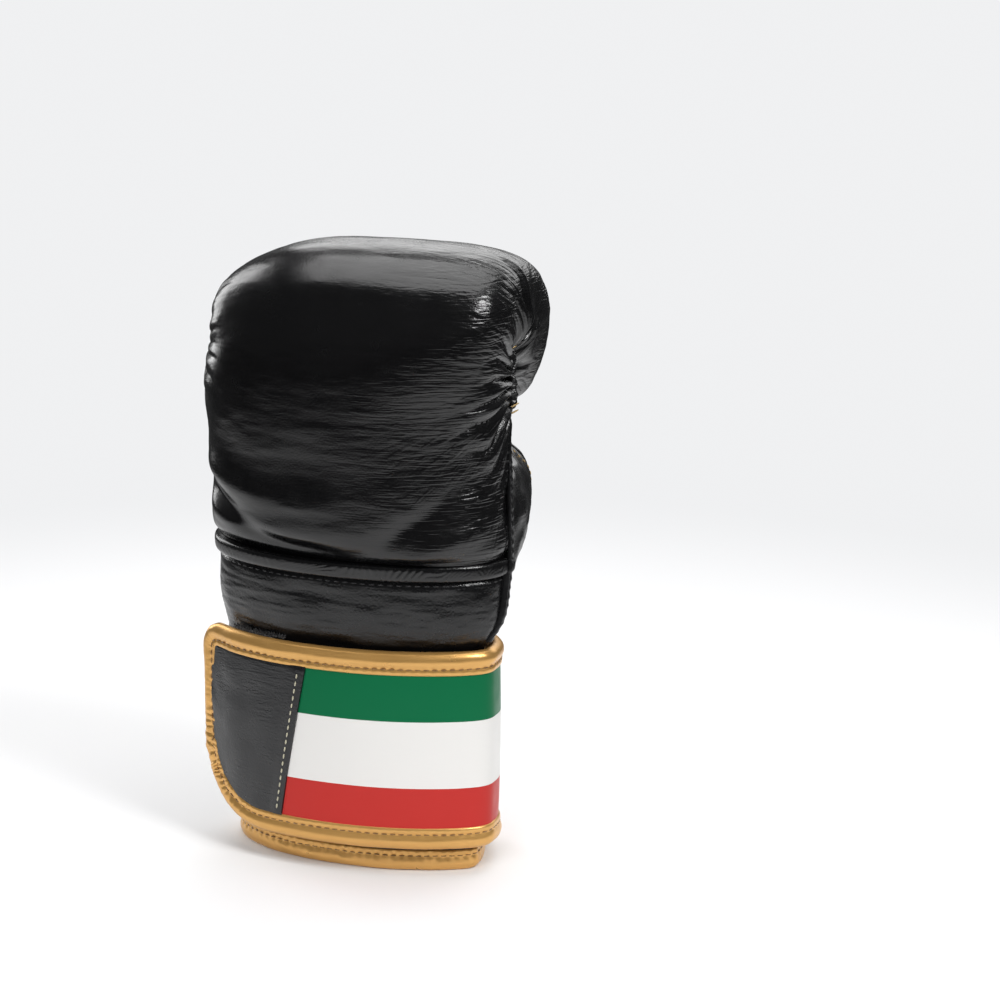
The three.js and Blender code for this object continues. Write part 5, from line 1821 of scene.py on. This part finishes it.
@dataclass
class Palm:
    """The palm panel with its slit, bound loop, thumb hole, stitching and eyelets."""

    form: GloveForm
    workshop: Workshop
    finishes: Finishes
    strap: Strap
    slit_across: float = 6.0
    slit_width: float = 7.0
    loop_height: float = 22.0
    loop_width: float = 7.4
    loop_proud: float = 3.2
    binding_proud: float = 1.6
    thumb_from_side: float = 22.0
    thumb_up_share: float = 0.323
    thumb_seam_width: float = 46.0
    thumb_height_share: float = 0.569
    noise: Noise = field(default_factory=lambda: Noise(53))

    @property
    def thumb_across(self) -> float:
        """Middle of the thumb's seam across."""
        return self.form.hand_width / 2.0 - self.thumb_from_side

    @property
    def thumb_up(self) -> float:
        """Middle of the thumb's seam up."""
        form = self.form
        return form.cuff_height + (form.gather_height - form.cuff_height) * self.thumb_up_share

    @property
    def thumb_seam_height(self) -> float:
        """Height of the thumb's seam."""
        return (self.form.gather_height - self.form.cuff_height) * self.thumb_height_share

    def slit_foot(self) -> float:
        """Height where the loop's binding meets the strap."""
        run = np.array([self.strap.root + self.slit_width + 2.0 * self.loop_width])
        return float(self.strap.high(run)[0]) + self.form.seam_gap

    def slit_line(self, grow: float, low_left: float, low_right: float) -> Array:
        """The slit's edge up, over and down, grown outward. Rows of across and up."""
        reach = self.slit_width / 2.0 + grow
        top = self.strap.height + self.loop_height
        turn = np.linspace(math.pi, 0.0, 41)
        head = np.stack([self.slit_across + reach * np.cos(turn), top + reach * np.sin(turn)], axis=1)
        right = np.linspace(self.slit_foot(), low_right, 30)
        leg = np.stack([0.0 * right + self.slit_across + reach, right], axis=1)
        left = np.linspace(low_left, top, 16)[:-1]
        first = np.stack([0.0 * left + self.slit_across - reach, left], axis=1)
        return np.concatenate([first, head, leg])

    def thumb_oval(self, grow: float, turn: Array) -> Array:
        """The thumb's seam, grown outward. Rows of across and up."""
        x = self.thumb_across + (self.thumb_seam_width / 2.0 + grow) * np.cos(turn)
        z = self.thumb_up + (self.thumb_seam_height / 2.0 + grow) * np.sin(turn)
        return np.stack([x, z], axis=1)

    def on_palm(self, line: Array, offset: Array) -> Array:
        """Points on the palm's outside above places across and up."""
        y = self.form.palm_surface(line[:, 0], line[:, 1], 0.0) + self.form.seam_gap / 2.0 + offset
        return stack(line[:, 0], y, line[:, 1])

    def palm_normal(self, line: Array) -> Array:
        """Directions out of the palm."""
        step = 0.5
        here = self.on_palm(line, 0.0)
        side = self.on_palm(line + np.array([step, 0.0]), 0.0) - here
        up = self.on_palm(line + np.array([0.0, step]), 0.0) - here
        return unit(np.cross(up, side))

    def sheet(self, offset: float, relief: float) -> Surface:
        """The palm panel at an offset from its outside."""
        form = self.form

        def place(u: Array, v: Array) -> Array:
            """Points of the panel."""
            angle = math.pi * (1.0 + u)
            x = form.body_point(form.vent_bottom + 0.0 * u, angle, offset)[:, 0]
            z = mix(form.binding_height - BINDING_LAP, form.roll_end_height(x) + 2.0, v)
            soft = relief * 0.7 * self.noise.layered(stack(x / 30.0, z / 34.0, 2.0), 2)
            inside = np.sin(math.pi * u) * smooth_step((1.0 - v) / 0.1)
            tuck = 0.6 * relief * (1.0 - smooth_step((1.0 - v) / 0.06))
            points = form.body_point(z, angle, offset + soft * inside - tuck)
            points[:, 1] += form.seam_gap / 2.0
            return points

        return place

    def cutter(self, name: str, line: Array) -> bpy.types.Object:
        """A prism through the palm with a flat outline, for cutting."""
        shape = bmesh.new()
        flat = stack(line[:, 0], 0.0 * line[:, 0] + self.form.seam_gap, line[:, 1])
        corners = [shape.verts.new(point) for point in to_row_frame(flat)]
        shape.faces.new(corners)
        depth = 2.0 * self.form.palm_depth * MILLIMETRE
        bmesh.ops.translate(shape, verts=grow_copy(shape), vec=(0.0, depth, 0.0))
        bmesh.ops.recalc_face_normals(shape, faces=shape.faces)
        mesh = bpy.data.meshes.new(name)
        shape.to_mesh(mesh)
        shape.free()
        tool = bpy.data.objects.new(name, mesh)
        bpy.context.scene.collection.objects.link(tool)
        return tool

    def cut(self, piece: bpy.types.Object, tools: Sequence[bpy.types.Object]) -> None:
        """Cuts holes through a piece and removes the tools."""
        for tool in tools:
            modifier = piece.modifiers.new("cut", "BOOLEAN")
            modifier.operation = "DIFFERENCE"
            modifier.solver = "EXACT"
            modifier.object = tool
        graph = bpy.context.evaluated_depsgraph_get()
        mesh = bpy.data.meshes.new_from_object(piece.evaluated_get(graph))
        mesh.name = piece.name
        piece.modifiers.clear()
        piece.data = mesh
        for tool in tools:
            bpy.data.objects.remove(tool)

    def build_panel(self) -> None:
        """Makes the palm panel with its openings."""
        form = self.form
        outer, inner = self.sheet(0.0, 1.0), self.sheet(-form.palm_wall, 0.0)
        panel = self.workshop.add_slab(
            (110, 110), outer, inner, "palm_leather", self.finishes.palm, Slot.PALM, "palm_panel"
        )
        bound = self.loop_width * 0.45
        slit = self.slit_line(bound, self.strap.height, -form.binding_height)
        left = self.slit_across - self.slit_width / 2.0
        foot = np.array([[left, -form.binding_height], [left, self.strap.height]])
        slit_tool = self.cutter("slit_tool", np.concatenate([foot, slit]))
        oval_tool = self.cutter("oval_tool", self.thumb_oval(0.0, np.linspace(0.0, 2.0 * math.pi, 81)[:-1]))
        self.cut(panel, [slit_tool, oval_tool])

    def build_loop(self) -> None:
        """Makes the gold binding round the slit."""
        low_right = self.form.binding_height + self.form.seam_gap
        near = self.slit_line(0.0, self.slit_foot(), low_right)
        far = self.slit_line(self.loop_width, self.slit_foot(), low_right)
        lengths = run_lengths((near + far) / 2.0)

        def place(u: Array, v: Array) -> Array:
            """Points round the binding's section and along the slit's edge."""
            run = v * lengths[-1]
            inner = line_values(lengths, near, run)
            outer = line_values(lengths, far, run)
            turn = TURN * u
            across = 0.5 - 0.5 * signed_power(np.cos(turn), 0.8)
            is_behind = (inner[:, 0] > self.slit_across) & (inner[:, 1] < self.slit_foot())
            proud = np.where(is_behind, self.binding_proud, self.loop_proud)
            lift = signed_power(np.sin(turn), 0.75)
            wrinkle = self.noise.layered(stack(run / 2.2, across * 1.3, 6.0), 2)
            folds = self.noise.layered(stack(run / 7.0, across * 0.8, 1.0), 2)
            raised = proud * lift + (0.3 * wrinkle + 0.5 * folds - 0.3) * np.maximum(lift, 0.0)
            offset = np.where(lift > 0, raised, self.form.palm_wall * lift)
            line = mix(inner, outer, across[:, None])
            return self.on_palm(line, np.where(is_behind, np.minimum(offset, self.binding_proud), offset))

        shape = self.workshop.tube(28, 420, place)
        self.workshop.finish(shape, "slit_loop_leather", self.finishes.gold, Slot.GOLD, ["slit_binding"])

    def sew_flat(self, rows: Stitching, flat: Profile) -> None:
        """Sews on the palm along places across and up."""

        def path(share: Array) -> Array:
            """Points just above the leather."""
            return self.on_palm(flat(share), 0.05)

        def normal(share: Array) -> Array:
            """Directions out of the leather."""
            return self.palm_normal(flat(share))

        rows.row(path, normal)

    def sew_line(self, rows: Stitching, places: Sequence[tuple[float, float]]) -> None:
        """Sews a smooth line on the palm through places across and up."""
        line = np.array(places)
        keys = np.linspace(0.0, 1.0, len(line))

        def flat(share: Array) -> Array:
            """Places along the line, straight between two and smooth between more."""
            if len(line) < 3:
                return line_values(keys, line, share)
            return np.stack([table_value(keys, line[:, k], share) for k in range(2)], axis=1)

        self.sew_flat(rows, flat)

    def sew_oval(self, rows: Stitching, grow: float) -> None:
        """Sews round the thumb's seam, some way out from it."""

        def oval(share: Array) -> Array:
            """Places round the seam."""
            return self.thumb_oval(grow, TURN * share)

        self.sew_flat(rows, oval)

    def build_details(self) -> None:
        """Makes the stitched facing line, the thumb's seam rows, the roll's rows and the eyelets."""
        rows = Stitching(self.workshop, "palm_stitches", length=2.3, gap=1.2, thread=0.5, lift=0.12)
        self.sew_line(rows, FACING_LINE)
        self.sew_line(rows, SHORT_LINE)
        for grow in (1.6, 4.2):
            self.sew_oval(rows, grow)
        for drop in (2.6, 5.2):
            across = np.linspace(-52.0, 46.0, 9)
            up = self.form.roll_end_height(across) - drop
            self.sew_line(rows, list(zip(across, up)))
        rows.sew(self.finishes.gold_thread, Slot.GOLD)
        for number, (x, z) in enumerate(EYELETS):
            self.build_eyelet(f"palm_eyelet_{number + 1}", x, z)

    def build_eyelet(self, name: str, x: float, z: float) -> None:
        """Makes one small punched eyelet with a raised rim."""
        centre = self.on_palm(np.array([[x, z]]), 0.1)[0]
        normal = self.palm_normal(np.array([[x, z]]))[0]
        side = unit(np.cross(normal, np.array([0.0, 0.0, 1.0])))
        up = np.cross(side, normal)

        def place(u: Array, v: Array) -> Array:
            """Points round the rim."""
            turn, roll = TURN * u, TURN * v
            radius = 1.25 + 0.45 * np.cos(roll)
            flat = radius * np.cos(turn), radius * np.sin(turn), 0.28 * np.sin(roll)
            return centre + flat[0][:, None] * side + flat[1][:, None] * up + flat[2][:, None] * normal

        shape = self.workshop.ring(24, 10, place)
        self.workshop.finish(shape, name, self.finishes.palm, Slot.PALM)

    def build(self) -> None:
        """Makes everything on the palm."""
        self.build_panel()
        self.build_loop()
        self.build_details()


@dataclass
class ThumbSleeve:
    """The short open thumb, of thin wrinkled leather with a stitched hem."""

    palm: Palm
    workshop: Workshop
    finishes: Finishes
    length: float = 36.0
    rise: float = 15.0
    shift: float = 5.0
    mouth_width: float = 38.0
    mouth_height: float = 44.0
    wall: float = 2.2
    neck: float = 22.0
    facing: tuple[float, float, float] = (-0.45, 0.8, 0.36)
    heading: tuple[float, float, float] = (-0.5, 0.8, 0.3)
    noise: Noise = field(default_factory=lambda: Noise(67))

    def sheet(self, inset: float) -> Surface:
        """The sleeve at an inset from its outside: share round and share along."""
        palm = self.palm
        facing = unit(np.array(self.facing))
        side = unit(np.array([1.0, 0.0, 0.0]) - facing * facing[0])
        up = unit(np.cross(side, facing))
        heading = unit(np.array(self.heading))
        x, z = palm.thumb_across, palm.thumb_up
        root = float(palm.form.palm_surface(np.array([x]), np.array([z]), 0.0)[0])
        mouth = np.array([x - self.shift, root + self.length, z + self.rise])

        def place(u: Array, v: Array) -> Array:
            """Points on a bend from the palm's seam to the mouth's lip."""
            turn = TURN * u
            line = palm.thumb_oval(-inset, turn)
            depth = palm.form.palm_surface(line[:, 0], line[:, 1], -inset)
            base = stack(line[:, 0], depth, line[:, 1])
            lip = mouth + ((self.mouth_width / 2.0 - inset) * np.cos(turn))[:, None] * side
            lip = lip + ((self.mouth_height / 2.0 - inset) * np.sin(turn))[:, None] * up
            bend = lip - self.neck * heading
            t = v[:, None]
            return (1 - t) ** 2 * base + 2 * t * (1 - t) * bend + t * t * lip

        return place

    def wrinkled(self, inset: float) -> Surface:
        """The sleeve with the slack folds of thin leather."""
        plain = self.sheet(inset)

        def place(u: Array, v: Array) -> Array:
            """Points with the folds on them."""
            points = plain(u, v)
            turn = TURN * u
            away = unit(points - points.mean(axis=0))
            normal = surface_normals(plain, u, v)
            normal = normal * np.sign(np.sum(normal * away, axis=1))[:, None]
            folds = self.noise.layered(ring_place(turn, 1.5, v * 3.2) + 4.0, 2)
            crimp = np.abs(self.noise.at(ring_place(turn, 3.4, v * 9.0)))
            lift = (1.3 * folds + 0.9 * (0.35 - crimp)) * fade(v, 0.12, 0.12)
            return points + normal * lift[:, None]

        return place

    def build(self) -> None:
        """Makes the sleeve, its hem and the hem's stitches."""
        outer = self.wrinkled(0.0)
        shape = self.workshop.tube(170, 80, outer, self.wrinkled(self.wall))
        self.workshop.finish(shape, "thumb_leather", self.finishes.thumb, Slot.BLACK, ["thumb_sleeve"])
        plain, within, middle = self.sheet(0.0), self.sheet(2.0), self.sheet(self.wall / 2.0)

        def hem(u: Array, v: Array) -> Array:
            """Points round the hem's section and round the mouth."""
            around, end = v % 1.0, 0.0 * v + 1.0
            lip = plain(around, end)
            out = unit(lip - within(around, end))
            ahead = unit(lip - plain(around, 0.0 * v + 0.9))
            turn = TURN * u
            puff = 1.75 + 0.18 * self.noise.at(ring_place(TURN * v, 6.0, 1.0))
            flat = (puff * np.cos(turn))[:, None] * out * 0.8
            centre = middle(around, 0.0 * v + 0.985)
            return centre + flat + (puff * 0.9 * np.sin(turn))[:, None] * ahead

        shape = self.workshop.ring(16, 160, hem)
        self.workshop.finish(shape, "thumb_hem_leather", self.finishes.thumb, Slot.BLACK)
        rows = Stitching(self.workshop, "thumb_hem_stitches", length=2.2, gap=1.3, thread=0.5, lift=0.1)
        centre = middle(np.linspace(0.0, 1.0, 60), np.full(60, 0.9)).mean(axis=0)

        def path(share: Array) -> Array:
            """Points round the mouth, beside the hem."""
            return outer(share % 1.0, 0.0 * share + 0.9)

        def out(share: Array) -> Array:
            """Directions away from the mouth's middle."""
            return unit(path(share) - centre)

        rows.row(path, out)
        rows.sew(self.finishes.gold_thread, Slot.GOLD)


@dataclass
class ThumbSide:
    """The perforated vent, the strip on the side seam, the gathers' ridges and the bar tacks."""

    form: GloveForm
    workshop: Workshop
    finishes: Finishes
    pad: FistPad
    vent_thickness: float = 1.6
    vent_start: float = 0.02
    vent_end: float = 0.93
    vent_gap: float = 3.0
    welt_width: float = 3.4
    welt_thickness: float = 2.0
    strap_height: float = 88.0

    def vent_sheet(self, inset: float) -> Surface:
        """The vent's surface between the roll's end and the side seam."""
        form = self.form

        def place(u: Array, v: Array) -> Array:
            """Points of the vent."""
            along = mix(self.vent_start, self.vent_end, u)
            z = mix(form.vent_bottom, form.gather_height, along)
            body = form.section(z)
            seam = stack(body.lean + body.half, 0.0 * z + self.vent_thickness + form.seam_gap, z)
            roll = self.pad.base(0.0 * u, mix(1.0, GATHER_END_ROW / LAST_ROW, along))
            gap = form.seam_gap * self.vent_gap / np.linalg.norm(seam - roll, axis=1)
            points = roll + (seam - roll) * mix(gap, 1.0 - gap, v)[:, None]
            crown = 2.0 * v * (1.0 - v) * self.vent_thickness
            points[:, 0] += crown - inset * 0.6
            points[:, 1] += crown - inset * 0.8
            return points

        return place

    def build_vent(self) -> None:
        """Makes the vent with staggered round holes."""
        columns, rows = 60, 48
        shape = new_grid(columns, rows)
        holes = []
        for face in shape.faces:
            centre = face.calc_center_median()
            i = int((centre.x + 0.5) * columns)
            j = int((centre.y + 0.5) * rows)
            place = (i + (4 if (j // 4) % 2 else 0)) % 8
            is_edge = i < 3 or i > columns - 4 or j < 2 or j > rows - 3
            if j % 4 < 2 and 0 < place < 4 and not is_edge:
                holes.append(face)
        bmesh.ops.delete(shape, geom=holes, context="FACES")
        bmesh.ops.translate(shape, verts=grow_copy(shape), vec=(0.0, 0.0, 1.0))
        flat = corner_places(shape)
        u, v = flat[:, 0] + 0.5, flat[:, 1] + 0.5
        outer = self.vent_sheet(0.0)(u, v)
        inner = self.vent_sheet(self.vent_thickness * 0.7)(u, v)
        self.workshop.place(shape, np.where((flat[:, 2] > 0.5)[:, None], inner, outer))
        piece = self.workshop.finish(shape, "vent_netting", self.finishes.net, Slot.NET, ["vent_mesh"])
        smoother = piece.modifiers.new("round_holes", "SUBSURF")
        smoother.levels = 1
        smoother.render_levels = 1

    def seam_path(self, z: Array, clear: float) -> Array:
        """Points along the thumb-side seam, clear of what stands out there."""
        form = self.form
        top = float(form.band_top(form.hand_width / 2.0))
        low = top - form.welt_height
        welt = 1.6 * (np.sin(math.pi * (z - low) / form.welt_height) - 0.35)
        up = np.clip((z - form.cuff_height) / (low - form.cuff_height), 0.0, 1.0)
        band = 1.6 * (np.sin(math.pi * up) - 0.5)
        offset = np.where(z > top, 0.0, np.where(z > low, welt, band))
        return form.body_point(z, 0.0 * z, np.maximum(offset, 0.0) + clear)

    def build_seam(self) -> None:
        """Makes the strip on the side seam with its stitches."""
        low = self.strap_height + 9.0
        high = self.form.vent_bottom + 3.0
        noise = Noise(71)

        def place(u: Array, v: Array) -> Array:
            """Points round the strip's section and up the seam."""
            z = mix(low, high, v)
            points = self.seam_path(z, self.form.seam_gap * 2.0)
            turn = TURN * u
            in_band = smooth_step((self.strap_height + 44.0 - z) / 6.0)
            out = mix(-0.3 - 1.1 * in_band, 1.0, 0.5 + 0.5 * signed_power(np.cos(turn), 0.6))
            side = signed_power(np.sin(turn), 0.6) * self.welt_width / 2.0
            dent = 0.3 * np.abs(np.sin(math.pi * z / 3.6)) * (out > 0.5)
            wobble = 0.12 * noise.at(stack(z / 4.0, u * 0.0, 1.0))
            points[:, 0] += out * self.welt_thickness - dent + wobble
            points[:, 1] += side
            return points

        shape = self.workshop.tube(16, 260, place)
        self.workshop.finish(shape, "side_seam_leather", self.finishes.palm, Slot.BLACK, ["side_welt"])
        rows = Stitching(self.workshop, "side_seam_stitches", length=2.5, gap=1.1, thread=0.4, lift=0.02)

        def out(share: Array) -> Array:
            """Directions out of the strip."""
            return stack(0.0 * share + 1.0, -0.6, 0.0)

        rows.row(line_on(place, (0.88, 0.88), (0.01, 0.99)), out)
        rows.sew(self.finishes.black_thread, Slot.BLACK)

    def build_tacks(self) -> None:
        """Makes the gold bar tacks at both ends of the gathered seam."""
        rows = Stitching(self.workshop, "gather_bar_tacks", thread=0.75, lift=0.3)
        along, normal = np.array([0.72, 0.55, 0.42]), np.array([0.6, -0.75, 0.2])
        for share, out, pitch, lengths in BAR_TACKS:
            centre = self.ridge_line(np.array([share]))[0] + out * np.array([1.3, -1.3, 0.0])
            for k, length in enumerate(lengths):
                shift = np.array([0.0, 0.0, (k - (len(lengths) - 1) / 2.0) * pitch])
                half = length * along
                rows.add(centre + shift - half, centre + shift + half, normal)
        rows.sew(self.finishes.gold_thread, Slot.GOLD)

    def ridge_line(self, share: Array) -> Array:
        """Middle of the gathered seam's ridge, from its foot to its top."""
        z = mix(self.form.vent_bottom + 0.5, self.form.gather_height - 0.5, share)
        body = self.form.section(z)
        return stack(body.lean + body.half + 3.2 + 0.8 * share, -0.2 + 1.6 * share, z)

    def ridge_taper(self, along: Array) -> Array:
        """Rounds a ridge's two ends."""
        return np.sqrt(np.clip(1.0 - (2.0 * along - 1.0) ** 8, 0.04, 1.0))

    def build_ridge(self) -> None:
        """Makes the twisted ridge where the pleats of both sides are sewn together."""
        noise = Noise(83)

        def place(u: Array, v: Array) -> Array:
            """Points round the ridge and up it."""
            turn = TURN * u
            knots = noise.layered(ring_place(turn, 1.4, v * 17.0), 2)
            twist = 0.16 * np.sin(2.0 * turn + 34.0 * v) + 0.42 * knots
            radius = (1.7 + twist) * self.ridge_taper(v)
            return self.ridge_line(v) + stack(1.5 * radius * np.cos(turn), radius * np.sin(turn), 0.0)

        shape = self.workshop.tube(28, 120, place)
        self.workshop.finish(shape, "gathered_seam_ridge", self.finishes.palm, Slot.BLACK)

    def build_little_ridge(self) -> None:
        """Makes the ridge that closes the gather on the little-finger side."""
        form = self.form
        noise = Noise(89)

        def place(u: Array, v: Array) -> Array:
            """Points round the ridge and up it."""
            z = mix(form.vent_bottom - 1.0, form.gather_height + 1.5, v)
            body = form.section(np.minimum(z, form.gather_height))
            share = smooth_step((form.gather_height - z) / form.vent_height)
            middle = self.pad.pinky_gather * (1.0 - share) / 2.0
            turn = TURN * u
            knots = noise.layered(ring_place(turn, 1.4, v * 13.0), 2)
            taper = self.ridge_taper(v)
            radius = (middle + 1.1 + 0.35 * knots) * taper
            edge = body.lean - body.half + 0.3
            return stack(edge + 1.5 * taper * np.cos(turn), middle + radius * np.sin(turn), z)

        shape = self.workshop.tube(24, 90, place)
        self.workshop.finish(shape, "little_finger_ridge", self.finishes.palm, Slot.BLACK)

    def build(self) -> None:
        """Makes the vent, the side seam, the ridges and the tacks."""
        self.build_vent()
        self.build_seam()
        self.build_ridge()
        self.build_little_ridge()
        self.build_tacks()


@dataclass
class Studio:
    """Pale floor, soft light and the camera at the photograph's angle."""

    azimuth: float = 20.0
    elevation: float = 15.0
    distance: float = 1.08
    aim: tuple[float, float, float] = (0.0, 0.0, 0.127)
    lens: float = 93.6
    shift: tuple[float, float] = (0.12, 0.042)
    pale: tuple[float, float, float] = (0.87, 0.875, 0.885)
    dim: float = 0.1
    dark: float = 0.05

    def build_camera(self) -> None:
        """Makes the camera and uses it."""
        camera = bpy.data.cameras.new("camera")
        camera.sensor_fit = "HORIZONTAL"
        camera.sensor_width = 36.0
        camera.lens = self.lens
        camera.shift_x, camera.shift_y = self.shift
        camera.clip_end = 60.0
        holder = bpy.data.objects.new("camera", camera)
        turn, tilt = math.radians(self.azimuth), math.radians(self.elevation)
        back = Vector((math.sin(turn) * math.cos(tilt), -math.cos(turn) * math.cos(tilt), math.sin(tilt)))
        holder.location = Vector(self.aim) + back * self.distance
        holder.rotation_euler = back.to_track_quat("Z", "Y").to_euler()
        bpy.context.scene.collection.objects.link(holder)
        bpy.context.scene.camera = holder

    def camera_only(self, bench: NodeBench, rest: float) -> Socket:
        """Full strength for the camera and a weaker one for all other rays."""
        seen = bench.add("ShaderNodeLightPath").outputs["Is Camera Ray"]
        return bench.math("ADD", bench.math("MULTIPLY", seen, 1.0 - rest), rest)

    def build_floor(self) -> None:
        """Makes the pale floor, which fades into the pale surroundings away from the glove."""
        shape = bmesh.new()
        bmesh.ops.create_grid(shape, x_segments=8, y_segments=8, size=14.0)
        mesh = bpy.data.meshes.new("floor")
        shape.to_mesh(mesh)
        shape.free()
        material, bench, shader = new_material("studio_floor")
        shader.inputs["Base Color"].default_value = (0.84, 0.84, 0.845, 1.0)
        shader.inputs["Roughness"].default_value = 0.75
        shader.inputs["Specular IOR Level"].default_value = 0.2
        far = bench.add("ShaderNodeEmission")
        far.inputs["Color"].default_value = opaque(self.pale)
        place = bench.add("ShaderNodeTexCoord").outputs["Object"]
        away = bench.add("ShaderNodeVectorMath", operation="LENGTH")
        bench.link(place, away.inputs[0])
        share = bench.ranged(away.outputs["Value"], 0.2, 0.62)
        bench.link(self.camera_only(bench, self.dark), far.inputs["Strength"])
        blend = bench.add("ShaderNodeMixShader")
        bench.link(share, blend.inputs[0])
        bench.link(shader.outputs[0], blend.inputs[1])
        bench.link(far.outputs[0], blend.inputs[2])
        sink = material.node_tree.nodes["Material Output"]
        bench.link(blend.outputs[0], sink.inputs["Surface"])
        mesh.materials.append(material)
        floor = bpy.data.objects.new("floor", mesh)
        bpy.context.scene.collection.objects.link(floor)
        floor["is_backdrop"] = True

    def add_light(
        self,
        name: str,
        place: Sequence[float],
        aim: Sequence[float],
        size: Sequence[float],
        power: float,
        mirrored: bool = True,
    ) -> None:
        """Makes one soft box.

        Args:
            name: its name.
            place: where it hangs, in metres.
            aim: what it points at.
            size: its width and height.
            power: its watts.
            mirrored: whether glossy surfaces show it.
        """
        light = bpy.data.lights.new(name, "AREA")
        light.shape = "RECTANGLE"
        light.size, light.size_y = size
        light.energy = power
        holder = bpy.data.objects.new(name, light)
        holder.location = place
        holder.rotation_euler = (Vector(place) - Vector(aim)).to_track_quat("Z", "Y").to_euler()
        holder.visible_glossy = mirrored
        bpy.context.scene.collection.objects.link(holder)

    def build_light(self) -> None:
        """Makes the soft boxes and the pale surroundings."""
        aim = (0.0, 0.0, 0.12)
        self.add_light("top_box", (0.0, 0.35, 1.6), (0.0, 0.1, 0.0), (1.5, 1.5), 19.0)
        self.add_light("right_box", (1.1, -0.45, 1.15), aim, (0.5, 0.6), 16.0)
        self.add_light("left_box", (-1.5, 0.75, 0.7), aim, (0.7, 1.4), 12.0)
        self.add_light("back_box", (0.1, 2.1, 1.05), aim, (2.6, 1.0), 15.0)
        self.add_light("front_fill", (-0.4, -2.2, 1.2), aim, (1.6, 1.2), 33.0, mirrored=False)
        world = bpy.data.worlds.new("studio")
        world.use_nodes = True
        bench = NodeBench(world.node_tree)
        back = world.node_tree.nodes["Background"]
        back.inputs["Color"].default_value = opaque(self.pale)
        bench.link(self.camera_only(bench, self.dim), back.inputs["Strength"])
        bpy.context.scene.world = world

    def build(self) -> None:
        """Makes the whole studio."""
        bpy.context.scene.view_settings.view_transform = "Standard"
        self.build_camera()
        self.build_floor()
        self.build_light()


def corners(box: Sequence[Vector]) -> list[list[float]]:
    """A box as plain lists."""
    return [[float(value) for value in corner] for corner in box]


def main() -> None:
    """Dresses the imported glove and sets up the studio."""
    logging.basicConfig(level=logging.INFO, format="%(relativeCreated)d ms: %(message)s")
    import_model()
    cad_box = corners(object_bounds())
    Studio().build()
    workshop = Workshop()
    finishes = Finishes()
    form = GloveForm()
    pad = FistPad(form, workshop, finishes)
    pad.build()
    WristBand(form, workshop, finishes).build()
    strap = Strap(form, workshop, finishes)
    strap.build()
    CuffBinding(form, workshop, finishes, strap).build()
    palm = Palm(form, workshop, finishes, strap)
    palm.build()
    ThumbSleeve(palm, workshop, finishes).build()
    ThumbSide(form, workshop, finishes, pad).build()
    LOG.info("%d pieces", workshop.count)
    {"cad": cad_box, "visual": corners(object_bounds())}


if __name__ == "__main__":
    main()
